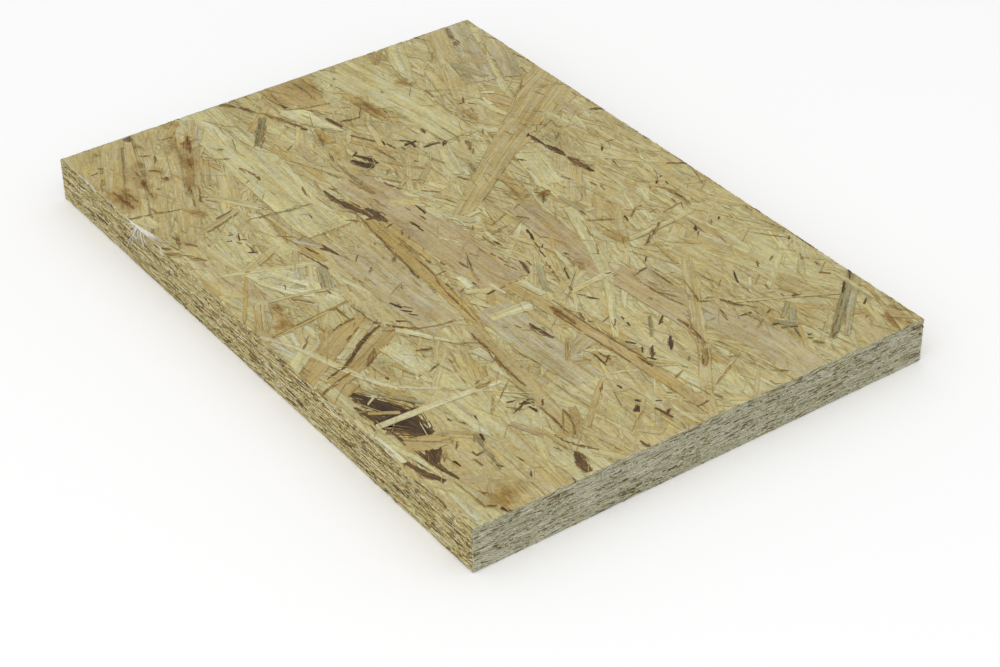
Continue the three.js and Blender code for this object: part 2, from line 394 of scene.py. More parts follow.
def strandMaterial(name, look, stains=()):
    material = newMaterial(name)
    tree = material.node_tree
    spot = addNode(tree, "ShaderNodeTexCoord").outputs["Object"]
    grain = addNode(tree, "ShaderNodeAttribute", attribute_name="grain").outputs["Vector"]
    tone = addNode(tree, "ShaderNodeAttribute", attribute_name="tone").outputs["Fac"]
    side = addNode(tree, "ShaderNodeAttribute", attribute_name="side").outputs["Fac"]
    halfWidth = addNode(tree, "ShaderNodeAttribute", attribute_name="halfWidth").outputs["Fac"]

    # the fibres sway a little on their way along the strand
    slack = addNode(tree, "ShaderNodeVectorMath", {
        0: grain, 1: (1 / look["swayLength"], 1 / look["swayWidth"], 1)}, operation="MULTIPLY")
    bends = addNode(tree, "ShaderNodeTexNoise", {"Vector": slack, "Scale": 1.0, "Detail": 1.0})
    bends = addNode(tree, "ShaderNodeVectorMath", {0: bends.outputs["Color"], 1: (0.5, 0.5, 0.5)},
                    operation="SUBTRACT")
    swayed = addNode(tree, "ShaderNodeVectorMath", {0: bends, 1: (0, look["sway"], 0), 2: grain},
                     operation="MULTIPLY_ADD")

    def fibres(length, width, detail, low=noiseLow, high=noiseHigh):
        # noise drawn out along the grain
        drawn = addNode(tree, "ShaderNodeVectorMath", {0: swayed, 1: (1 / length, 1 / width, 1)},
                        operation="MULTIPLY")
        pattern = addNode(tree, "ShaderNodeTexNoise", {
            "Vector": drawn, "Scale": 1.0, "Detail": detail, "Roughness": 0.6})
        return addNode(tree, "ShaderNodeMapRange", {0: pattern, 1: low, 2: high})

    def clouds(size, detail):
        # noise of the same size every way, which crosses from strand to strand
        pattern = addNode(tree, "ShaderNodeTexNoise", {
            "Vector": spot, "Scale": 1 / (size * mm), "Detail": detail, "Roughness": 0.6})
        return addNode(tree, "ShaderNodeMapRange", {0: pattern, 1: 0.25, 2: 0.75})

    # each of these makes the spots of a strand lighter or darker
    patterns = {
        "band": fibres(look["bandLength"], look["bandWidth"], 1.0),
        "ring": fibres(look["ringLength"], look["ringWidth"], 2.0),
        "fine": fibres(look["fineLength"], look["fineWidth"], 2.0),
        "mottle": clouds(look["mottleSize"], 2.0),
        "cloud": clouds(look["cloudSize"], 2.0),
    }
    light = look["light"]
    for label, pattern in patterns.items():
        centred = addNode(tree, "ShaderNodeMath", {0: pattern, 1: 0.5}, operation="SUBTRACT")
        light = addNode(tree, "ShaderNodeMath", {0: centred, 1: look[label + "Shift"], 2: light},
                        operation="MULTIPLY_ADD")

    # resin streaks along the grain, which fade here and there
    streaks = fibres(look["streakLength"], look["streakWidth"], 3.0, 0.54, 0.72)
    thick = addNode(tree, "ShaderNodeMath", {0: clouds(look["fadeSize"], 1.0), 1: 1.2, 2: 0.1},
                    operation="MULTIPLY_ADD")
    streaks = addNode(tree, "ShaderNodeMath", {0: streaks, 1: thick}, operation="MULTIPLY")

    # broken dark golden lines at the strand's sides: painted shade of the steps and gaps between strands,
    # partly resin lines
    broken = fibres(look["brokenLength"], look["brokenWidth"], 2.0, 0.4, 0.62)
    inward = addNode(tree, "ShaderNodeMath", {0: side}, operation="ABSOLUTE")
    inward = addNode(tree, "ShaderNodeMath", {0: 1.0, 1: inward}, operation="SUBTRACT")
    inward = addNode(tree, "ShaderNodeMath", {0: inward, 1: halfWidth}, operation="MULTIPLY")
    rims = addNode(tree, "ShaderNodeMapRange", {0: inward, 1: 0.05, 2: look["resinAndShadeLine"], 3: 1, 4: 0})
    rims = addNode(tree, "ShaderNodeMath", {0: rims, 1: broken}, operation="MULTIPLY")

    # small resin spots, in a few of the cells that the strand is divided into
    long, wide = (look["spotSize"] * stretch for stretch in look["spotStretch"])
    cells = addNode(tree, "ShaderNodeVectorMath", {0: swayed, 1: (1 / long, 1 / wide, 1)},
                    operation="MULTIPLY")
    cells = addNode(tree, "ShaderNodeTexVoronoi", {"Vector": cells, "Scale": 1.0})
    chosen = addNode(tree, "ShaderNodeSeparateColor", {0: cells.outputs["Color"]}).outputs["Red"]
    reach = addNode(tree, "ShaderNodeMapRange", {0: chosen, 1: look["spotCells"], 2: 1.0, 3: 0.0, 4: 0.3})
    spots = addNode(tree, "ShaderNodeMath", {0: reach, 1: cells.outputs["Distance"]}, operation="SUBTRACT")
    spots = addNode(tree, "ShaderNodeMapRange", {0: spots, 1: 0.0, 2: 0.15})

    warm = fibres(look["warmLength"], look["warmWidth"], 3.0)
    # streaks and spots are resin; the side lines darken and warm the strand as painted shade of its gaps,
    # partly resin
    marks = ((streaks, look["streakShare"]), (rims, look["resinAndShadeShare"]), (spots, look["spotShare"]))
    for pattern, share in marks:
        kept = addNode(tree, "ShaderNodeMath", {0: pattern, 1: -share, 2: 1.0}, operation="MULTIPLY_ADD")
        light = addNode(tree, "ShaderNodeMath", {0: light, 1: kept}, operation="MULTIPLY")
        warm = addNode(tree, "ShaderNodeMath", {0: warm, 1: pattern}, operation="MAXIMUM")
    light = addNode(tree, "ShaderNodeMath", {0: light, 1: 1 / brightest}, operation="MULTIPLY")
    golden = addNode(tree, "ShaderNodeValToRGB", {0: light}, stops=look["golden"])
    stops = list(zip(shadePlaces(look["shades"]).values(), look["shades"].values()))
    color = addNode(tree, "ShaderNodeValToRGB", {0: tone}, stops=stops)
    warm = addNode(tree, "ShaderNodeValToRGB", {0: warm}, stops=look["warm"])
    for tint in (golden, warm):
        color = addNode(tree, "ShaderNodeMix", {0: 1.0, 1: color, 2: tint},
                        data_type="RGBA", blend_type="MULTIPLY")

    if stains:
        # soft fields with ragged rims
        rim = addNode(tree, "ShaderNodeTexNoise", {
            "Vector": spot, "Scale": 1 / (stainRims["size"] * mm), "Detail": 3.0})
        rim = addNode(tree, "ShaderNodeVectorMath", {0: rim.outputs["Color"], 1: (0.5, 0.5, 0.5)},
                      operation="SUBTRACT")
        fray = (stainRims["reach"] * mm, stainRims["reach"] * mm, 0)
        ragged = addNode(tree, "ShaderNodeVectorMath", {0: rim, 1: fray, 2: spot}, operation="MULTIPLY_ADD")
        soaked = 0.0
        for x, y, across, along, degrees, strength in stains:
            field = addNode(tree, "ShaderNodeMapping", {
                "Vector": ragged, "Location": (x * mm, y * mm, boardHigh.z),
                "Rotation": (0, 0, math.radians(degrees)), "Scale": (across * mm, along * mm, 1),
            }, vector_type="TEXTURE")
            field = addNode(tree, "ShaderNodeVectorMath", {0: field}, operation="LENGTH").outputs["Value"]
            field = addNode(tree, "ShaderNodeMapRange", {0: field, 1: 1.4, 2: 0.0, 3: 0.0, 4: strength},
                            interpolation_type="SMOOTHSTEP")
            soaked = addNode(tree, "ShaderNodeMath", {0: soaked, 1: field}, operation="MAXIMUM")
        streaky = addNode(tree, "ShaderNodeMath", {0: patterns["ring"], 1: 0.9, 2: 0.5},
                          operation="MULTIPLY_ADD")
        soaked = addNode(tree, "ShaderNodeMath", {0: soaked, 1: streaky},
                         operation="MULTIPLY", use_clamp=True)
        color = addNode(tree, "ShaderNodeMix", {0: soaked, 1: color, 2: linearColor(look["stain"])},
                        data_type="RGBA", blend_type="MULTIPLY")

    height = addNode(tree, "ShaderNodeMath", {0: patterns["fine"], 1: streaks}, operation="SUBTRACT")
    bump = addNode(tree, "ShaderNodeBump", {
        "Strength": look["bump"], "Distance": look["relief"] * mm, "Height": height})
    shader = addNode(tree, "ShaderNodeBsdfPrincipled", {
        "Base Color": color, "Roughness": look["roughness"], "Specular IOR Level": look["shine"],
        "Normal": bump})
    addNode(tree, "ShaderNodeOutputMaterial", {"Surface": shader})
    return material


topPine = strandMaterial("pressed pine strands with resin stains", faceLook, faceStains)
undersidePine = strandMaterial("pressed pine strands", faceLook)
print("strand materials made")




# Strands are given lowest first: a shade, then x, y and width along each one, in millimetres.
bedStrands = [
    ("straw", 2, 62, 16, 12, 92, 14), ("pale", 22, 40, 10, 30, 66, 9), ("straw", 52, 60, 12, 62, 88, 13),
    ("straw", -24, 60, 12, -22, 92, 12), ("pale", -12, 74, 9, -14, 92, 8), ("tan", 12, 92, 14, 22, 112, 12),
    ("straw", 6, 24, 14, 14, 58, 13), ("straw", 74, 40, 14, 84, 8, 14), ("tan", 60, 4, 12, 74, 40, 10),
    ("pale", 50, 12, 17, 55, 38, 15), ("straw", 40, -4, 12, 62, 26, 11), ("pale", 84, 46, 12, 94, 60, 9),
    ("tan", 89, 6, 16, 92, -20, 12), ("straw", 89, 2, 15, 89, -46, 15), ("pale", 92, -10, 7, 90, -70, 8),
    ("straw", 52, -4, 16, 58, -34, 15), ("tan", 66, -4, 14, 68, -32, 14),
    ("straw", 74, -40, 14, 58, -52, 14), ("straw", 56, -52, 15, 62, -88, 15),
    ("tan", 68, -50, 12, 74, -78, 12), ("pale", 80, -48, 14, 84, -106, 15),
    ("straw", 62, -86, 14, 68, -118, 14), ("straw", 84, -112, 16, 78, -139, 16),
    ("tan", 92, -106, 10, 88, -139, 10), ("pale", 12, -56, 14, 10, -76, 13),
    ("straw", 14, -78, 16, 16, -106, 15), ("pale", 12, -106, 15, 18, -139, 17),
    ("straw", -14, -96, 16, -12, -124, 15), ("pale", -30, -92, 16, -26, -122, 14),
    ("tan", -6, -124, 11, -5, -139, 11), ("straw", -24, -122, 18, -26, -139, 18),
    ("pale", -50, -96, 14, -48, -139, 15), ("straw", -60, -98, 12, -62, -139, 12),
    ("straw", -74, -104, 16, -76, -139, 16), ("pale", -90, -112, 10, -88, -139, 12),
    ("straw", -68, -78, 16, -70, -104, 15), ("pale", -56, -56, 14, -58, -96, 13),
    ("straw", -47, -50, 9, -50, -84, 10), ("pale", -75, -56, 8, -66, -76, 9),
    ("straw", -88, -4, 12, -90, -32, 12), ("pale", -66, -6, 14, -70, -28, 12),
    ("straw", -53, -2, 12, -54, -28, 10), ("pink", -86, 8, 10, -84, 28, 9),
    ("straw", -92, 18, 7, -88, 54, 8), ("pale", -75, 34, 12, -72, 58, 13), ("pale", -60, 30, 7, -58, 58, 7),
    ("straw", -50, 2, 12, -48, 34, 10), ("straw", -34, 4, 8, -33, 34, 8),
]
mainStrands = [
    ("tan", -99, 110, 15, -86, 146, 17), ("tan", -98, 92, 10, -74, 139, 10),
    ("tan", -100, 64, 9, -86, 96, 9, -70, 130, 9), ("tan", -92, 66, 8, -78, 96, 8, -62, 139, 8),
    ("straw", -84, 58, 10, -66, 96, 9, -58, 118, 7), ("straw", -68, 84, 7, -52, 118, 8, -42, 139, 8),
    ("straw", -60, 70, 9, -50, 92, 7), ("straw", 60, 90, 12, 80, 139, 13),
    ("shell", 72, 92, 11, 90, 139, 11), ("shell", 84, 88, 9, 98, 126, 10),
    ("straw", 58, 84, 12, 70, 110, 12), ("straw", 66, 92, 5, 72, 118, 5),
    ("pale", -60, 32, 6, -58.6, 50, 6), ("pale", 46, 12, 11, 52, 36, 11),
    ("pale", -36, 139, 21, -38, 85, 22, -40, 34, 21), ("straw", -52, 56, 4, -52, 42, 4, -50, 30, 4),
    ("oak", 4.5, 139, 23, 3, 128, 22, 3.5, 118, 18, 7, 113, 7),
    ("white", -5, 118.4, 10.4, -2.8, 111, 11.4, -1.6, 104, 8, 0.4, 98, 5, 3.4, 92, 1.6),
    ("pale", 30, 139, 26, 34, 110, 24, 38, 90, 19, 39, 61, 16),
    ("pale", 58, 139, 10, 52, 124, 9, 47, 108, 3),
    ("tan", 102, 77, 30, 85, 68, 26, 70, 57.5, 19, 55, 48, 15, 42, 40, 12, 30, 31, 11, 18, 22, 10, 6,
     13.5, 7),
    ("pink", -15, 59, 15, -12, 40, 18, -10, 20, 20, -7, -34, 20),
    ("shell", -41, 16, 17, -41, -8, 19, -40, -42, 18), ("shell", -21, -44, 15, -21, -70, 17, -19, -97, 12),
    ("pink", 27, 5, 12, 26, -25, 13, 24, -52, 9), ("pink", 29, -52, 13, 31, -75, 14, 33, -95, 14),
    ("shell", 37, -86, 13, 42, -105, 15, 45, -120, 15, 45, -139, 15), ("oak", -97, -59, 6, -86, -52, 7),
    ("pale", -97, -36, 9, -84, -26, 9),
    ("oak", -98, -42, 8, -85, -34, 9, -75, -27, 9, -66, -22.5, 7, -61, -20, 4),
    ("pale", -74, -34, 4, -62, -26, 4), ("white", -80, -37.5, 3.5, -76, -35.5, 3),
    ("oak", -98, -54, 5, -88, -48.5, 7, -75, -42, 9, -64, -36.5, 8, -55, -33, 5),
    ("amber", -28, -14, 5, -29, -40, 5, -32, -50, 5, -34.8, -63, 4),
    ("tan", -33, -48, 5, -36, -80, 7, -41, -117, 5),
    ("amber", -25, 31, 5, -25, 10, 6.5, -27, -10, 6, -28, -24, 5), ("white", -24, -48, 5, -8, -50, 6),
    ("oak", -7, -35, 5, -6.5, -45, 6, -3.5, -60, 6, -2, -80, 6, 1, -100, 6, 2.5, -120, 5.5, 3, -132.5, 4.5),
    ("pale", 41, -7, 5, 36, -22, 6, 30, -38, 5.5, 24, -52, 5, 18, -62, 4, 10, -73, 3, 4, -83, 2.5),
    ("shell", 37, -56, 7, 36, -66, 7.5, 38, -80, 5),
    ("tan", 54, -60, 4, 46, -72, 5, 42, -79, 5, 35, -89, 5, 27, -101, 4.5, 19, -112, 3),
    ("tan", 26, -104, 5, 18, -114, 5, 10, -124, 4.5, 2, -138, 4),
    ("pale", -93, -48, 5, -92, -75, 6, -91, -97, 4),
    ("bark", -91.6, -64, 1.2, -91, -69, 2.4, -88.8, -73, 5, -87.4, -77.5, 9),
    ("char", -88, -57.4, 3, -86.8, -62, 5, -84.4, -68, 8, -82.4, -73, 11, -82, -77.5, 13),
    ("char", -91, -76, 3, -75.6, -76.6, 2.4),
    ("char", -83, -79, 15.4, -81.8, -82.4, 12.8, -80.6, -86.4, 8, -79.4, -91, 3),
    ("bark", -89.4, -80.6, 2, -86, -82.4, 3, -84, -86, 1.6),
    ("bark", -83.6, -99, 7.6, -84.8, -101.6, 5.6, -86, -104.4, 3),
    ("bark", -89, -82, 0.8, -88.4, -92, 1.4, -87.4, -101, 2.2, -86.8, -108, 2.4, -85.2, -115.4, 1.2),
    ("bark", -94.4, -97, 1.4, -93.2, -103, 2.4, -92.2, -108, 3.8, -89.6, -113.8, 2.4),
    ("char", -91.2, -96, 1.4, -89.8, -105, 2), ("oak", -89.6, -69.4, 1.8, -81, -75, 2),
    ("white", -86.6, -64.9, 0.9, -83.4, -63, 1),
    ("pale", -93, -88, 2.4, -89.4, -100, 2.6, -88.8, -111, 1.6),
    ("tan", -77, -92, 3, -71, -97, 5, -65, -103, 2),
    ("oak", -88.6, -91.6, 7, -85.4, -93.6, 9.4, -80, -94.6, 10.4, -76, -96, 6),
    ("white", -77, 27, 8, -71, 15, 17, -65, 3, 9), ("white", -77, 22, 3, -71, 12, 5, -67, 6, 3),
    ("pale", -64, 80, 4, -60, 76, 5, -52, 62, 4), ("tan", -80, 60, 2, -70, 62.5, 4, -60, 65.8, 3.5),
    ("straw", -79, 28, 4, -70, 32, 5, -61, 36, 3),
    ("bare", -96.4, 83.5, 0.6, -96, 77, 1.8, -95.6, 71.5, 2.6), ("pale", -92, 82, 7, -90, 74, 5),
    ("white", -95, -70, 2.4, -94.8, -84, 3, -94.4, -98, 2.4), ("white", -95.9, -79, 1.4, -95.6, -93, 1.7),
]
smallStrands = [
    ("oak", -65, 92, 3, -60, 103, 5, -55, 114, 6, -50, 122, 3), ("tan", -60, 88, 3, -52, 105, 4),
    ("tan", -53, 110, 4, -41, 135, 4), ("oak", -26, 113, 3.5, -12, 125, 3.5),
    ("olive", -30, 102, 2.4, -17, 119, 3.4), ("olive", -29, 104, 1.2, -19, 117, 1.6),
    ("tan", 4, 114, 4, 9, 107, 4), ("tan", 12, 92, 8, 23, 110, 8),
    ("amber", 20, 115, 4, 21, 104, 6, 22, 89, 4), ("tan", 12, 108, 1, 22, 104, 1.2),
    ("amber", -4.6, 99, 1.6, -5.2, 92, 4.6, -5.2, 87.4, 5), ("straw", 53, 92, 5, 58, 110, 6),
    ("pink", 75, 111, 5, 81, 104, 4), ("grey", 69, 110, 3, 71, 102, 5, 74, 94, 3),
    ("oak", 43, 129.5, 3, 52, 139, 3), ("grey", 49.5, 92, 2, 48, 87, 3.4, 46.5, 83.5, 1),
    ("pink", -17, 91, 4, -18, 80, 4), ("straw", -24, 85, 3, -14, 62, 3),
    ("oak", 5, 61, 2, 10, 54, 3, 13, 49.5, 2), ("pale", 27.5, 56, 5, 24, 47, 8, 22, 38, 4),
    ("straw", -10, 37, 4, -2, 30, 4, 2, 23, 3.5), ("pale", -1, 25, 5, -2, 19, 8, 0, 15, 4),
    ("white", 0, 15, 1.3, 4, 13.5, 1.4, 4.6, 10, 1.3, 2.5, 6, 1), ("amber", 5, 30, 2, 9, 25, 2.6),
    ("pale", 43, 12, 2.6, 42.5, 1, 3), ("oak", 33, 27, 3, 34, 22, 4, 33, 13, 3),
    ("grey", 42.5, 2, 1.5, 43.5, -5, 3, 43.5, -13, 3), ("pale", 44.6, -12, 2.4, 48, -12.6, 2),
    ("straw", 46, -4, 5, 60, 14, 5), ("pale", 46, -37, 3, 60, -37, 3.2, 76, -36, 2.4),
    ("white", 62, -24, 2.5, 60, -32, 3), ("pale", 55, -26, 4.5, 54, -34, 4.5),
    ("pale", 76, -16, 2, 76.5, -24, 2.6), ("tan", 56, -17, 2, 48, -29, 3.5, 42, -41, 2.5),
    ("amber", 41, -28, 3, 44, -37, 5), ("tan", 84, -12, 6, 85, -32, 6),
    ("grey", 8.6, -32, 2.6, 5, -38, 3.2, 1, -46.5, 2.6),
    ("tan", 20, -10, 2, 15, -25, 3.5, 10, -38, 3.5, 8, -48, 3), ("pale", 8, -52, 3.2, 27, -50, 3.2),
    ("amber", 20, -25, 2, 24, -19, 2.4), ("white", -19, -21, 3.2, -19, -28, 3.4),
    ("pale", -22, -30, 3, -15, -34, 4), ("white", -12.6, -31, 1.6, -11.6, -38.6, 2),
    ("pale", -24, -36, 3, -21, -42, 2.4), ("white", -3, -36, 4, -1, -47, 3.4),
    ("shell", -14, -82, 3, -8, -79, 8, -5, -78.5, 9),
    ("oak", -10.5, -74, 1.4, -13.5, -78, 3, -18.2, -84.5, 2), ("oak", -17, -87, 3, -13, -89.5, 3),
    ("oak", -8, -86, 3, -8, -95, 3), ("tan", -43, -57, 2, -46, -65, 4.6, -49.6, -75, 4.6),
    ("oak", -44, -70, 3, -46.5, -75, 3), ("white", -40, -61, 4, -38, -69, 4),
    ("amber", -67.5, -51, 2, -65.5, -58, 2.4, -63.5, -62, 1.5), ("tan", -73, -47, 3, -72, -59, 3),
    ("white", -63, -42, 8, -61, -60, 8), ("grey", -84, -57.6, 1.8, -78, -66, 2.8, -71.4, -75.6, 1.6),
    ("amber", -79, -59, 1.6, -78, -67, 1.6), ("blue", -94.4, -16, 2.2, -92, -26, 2.6),
    ("white", -96, -20, 1.6, -93.6, -27, 2), ("white", -89.6, -14.6, 2.8, -90.4, -23, 2.2),
    ("blue", -86.4, -15, 2.8, -87.8, -22, 2.2), ("tan", -84.6, 6, 2.4, -92, -8, 3.4),
    ("tan", -86.4, 8, 2.4, -95, -9, 3), ("shell", -82.6, 8, 1.6, -89, -6, 2.4),
    ("oak", -82.5, 5, 2, -82.6, 0, 3.4, -85, -7, 5.4, -86.4, -12, 7.4),
    ("shell", -57, 29, 2.4, -62, 21.5, 3), ("shell", -61, 20, 4, -65, 12, 3),
    ("grey", -54.5, 15, 3, -60, 2, 5), ("grey", -61.6, 1, 0.7, -56.6, 13, 0.9),
    ("grey", -59, 1, 0.6, -54.4, 12, 0.8), ("blue", -66.4, 13, 2, -62, 22, 2.4),
    ("blue", -62, 4, 0.8, -56.6, 15, 1), ("pale", -58, 18, 2, -65, 5, 2),
    ("amber", -53, 30, 3, -53.5, 24, 4.6, -52, 17, 3), ("blue", -54, 35, 2, -49, 28, 2.4),
    ("grey", -52, 35.6, 1.4, -48, 27, 1.6), ("pale", -88, 31, 2.4, -70, 24, 3, -54, 17, 2.6),
    ("pale", -86, 7.5, 2, -74, 5, 2, -61, 1, 2),
    ("amber", -81, 24.5, 1, -83.5, 20.5, 2.2, -88, 12.5, 1.4, -92, 6.5, 2.2, -95.5, 1, 1),
    ("shell", -73, 1, 3, -69, -5, 3), ("amber", -76, 78, 2, -72, 72, 4, -71, 70, 2),
    ("straw", -98, -13, 2.2, -82, -12.4, 2.4, -70, -11, 1.8, -58, -9.4, 1.2),
    ("amber", 51, 77, 1.6, 51, 71, 3.6, 51, 67, 1.5), ("oak", 76, 50, 3, 75, 44, 4),
    ("pink", 86, 61, 4.6, 86.4, 47, 5), ("pale", 75.6, 56, 4.4, 78, 43, 6),
    ("white", 63, 80, 1.6, 62.5, 74, 2.6), ("white", 65, 84, 2, 69.5, 81.5, 2.6),
    ("amber", 52, -45, 2, 50.6, -52, 2.6, 49.6, -60, 1.4), ("oak", -56, 127, 3, -46, 137, 3),
    ("white", -95.5, -10, 2.4, -92, -17, 2, -88, -25, 2.6, -84.5, -37, 3.2, -82, -46, 2.6, -79, -55, 3,
     -74, -63, 2),
    ("white", -55.5, -34.5, 2.6, -50, -42, 3.2, -46, -50, 2.4, -41, -55, 1.2),
    ("white", -73, -63, 2, -66, -69, 1.5, -58, -76, 1, -50, -83, 0.7, -38, -93.4, 0.7),
    ("shell", -63, -84, 1.8, -62, -90.5, 1.8), ("grey", -70, -108, 2, -70, -113, 2),
    ("straw", -61, -122, 1.6, -66, -129, 2.2), ("blue", -92, -125, 2, -92, -136, 2.4),
    ("pink", -54.5, -102, 3, -50, -113, 3), ("amber", -45, -116, 4, -41, -119, 3),
    ("oak", -33, -107, 3, -36, -115, 4, -42, -121, 3),
    ("oak", -16.5, -101, 1.6, -22, -106, 3, -28, -111, 3.2, -35, -118, 2),
    ("straw", -11, -117, 2, -25.5, -131, 2.4), ("straw", -24, -127, 3, -17.5, -134.5, 4.5),
    ("white", -14, -98.5, 1, -8, -99, 1.2, -3, -103, 1.1), ("straw", 5, -105.5, 1.2, 10.5, -108.5, 1.5),
    ("olive", 20.5, -80.6, 1.2, 17.5, -86, 3, 14, -90, 1.2),
    ("white", 33.5, -115, 1, 25, -119, 1.2, 13.5, -124.5, 1.2), ("tan", 29.5, -128.5, 1.4, 19, -139, 1.8),
    ("pale", 28.5, -106.5, 1, 31, -112, 1.2, 34.5, -126, 1),
    ("tan", 31, -106, 1.4, 34.5, -118, 2, 37, -131, 2, 37.5, -139, 2), ("pale", 43, -56, 5.5, 44, -63, 5.5),
    ("straw", 42, -63.5, 2.4, 42.5, -71, 2),
    ("straw", 49, -90.5, 1.8, 56, -94, 2, 63, -98, 1.8, 77, -105, 2, 87.5, -111.5, 1.8),
    ("shell", 62, -92, 3, 66, -94, 2.4), ("grey", 65.5, -102.5, 2, 58, -108.5, 2),
    ("grey", 64.5, -106, 2.6, 58.5, -113, 3), ("olive", 54, -109, 2.6, 58, -115, 3),
    ("white", 64, -83.5, 1.4, 59, -90, 1.4),
    ("grey", 98, -104, 3, 90, -110, 3.6, 80, -119, 3, 68.5, -130, 2.4),
    ("olive", 97, -100.5, 2.4, 90, -107, 2.8, 85, -111, 3.6, 77, -117.5, 4.4, 70, -123.5, 3.6, 63.5,
     -128, 2.6),
    ("grey", 85, -112.4, 0.7, 76, -119.6, 1.1, 68, -126, 0.6), ("pale", 91.3, -100, 2.6, 92.5, -125, 2.6),
    ("oak", 94.5, -111, 1.6, 92.5, -120, 2.8, 90, -127, 1.4),
    ("ochre", 88.5, -128, 1.6, 86.5, -133, 3.2, 85, -138, 2), ("straw", 80.5, -130, 2.4, 84.5, -138, 2.6),
    ("pale", -46, -92.5, 1, -51, -97, 0.9), ("pale", -42.5, -97.4, 0.8, -50, -98.6, 0.8),
    ("white", -91, -77.3, 3.2, -75, -78, 3.4, -60, -79, 3.2, -44, -80.5, 2.4),
    ("shell", -47, 118, 3, -40, 128, 3), ("oak", -21, 27, 2.4, -20.6, 12, 3, -20.6, -4, 2.4),
    ("straw", -13.4, 35, 0.9, -9, 40.4, 0.9), ("white", -10, 5, 0.9, -6, -1, 0.9),
    ("pale", 7, 11, 2.4, 14, 11.6, 2), ("white", 8.6, 39, 3, 11.4, 33, 3),
    ("white", 25.6, 40, 2.4, 24.6, 35, 2), ("tan", -3, 53, 3, 2, 46, 3), ("tan", 16, 50, 3, 6, 41, 3),
    ("oak", -1, 44, 1.6, 4, 47, 1.6),
]
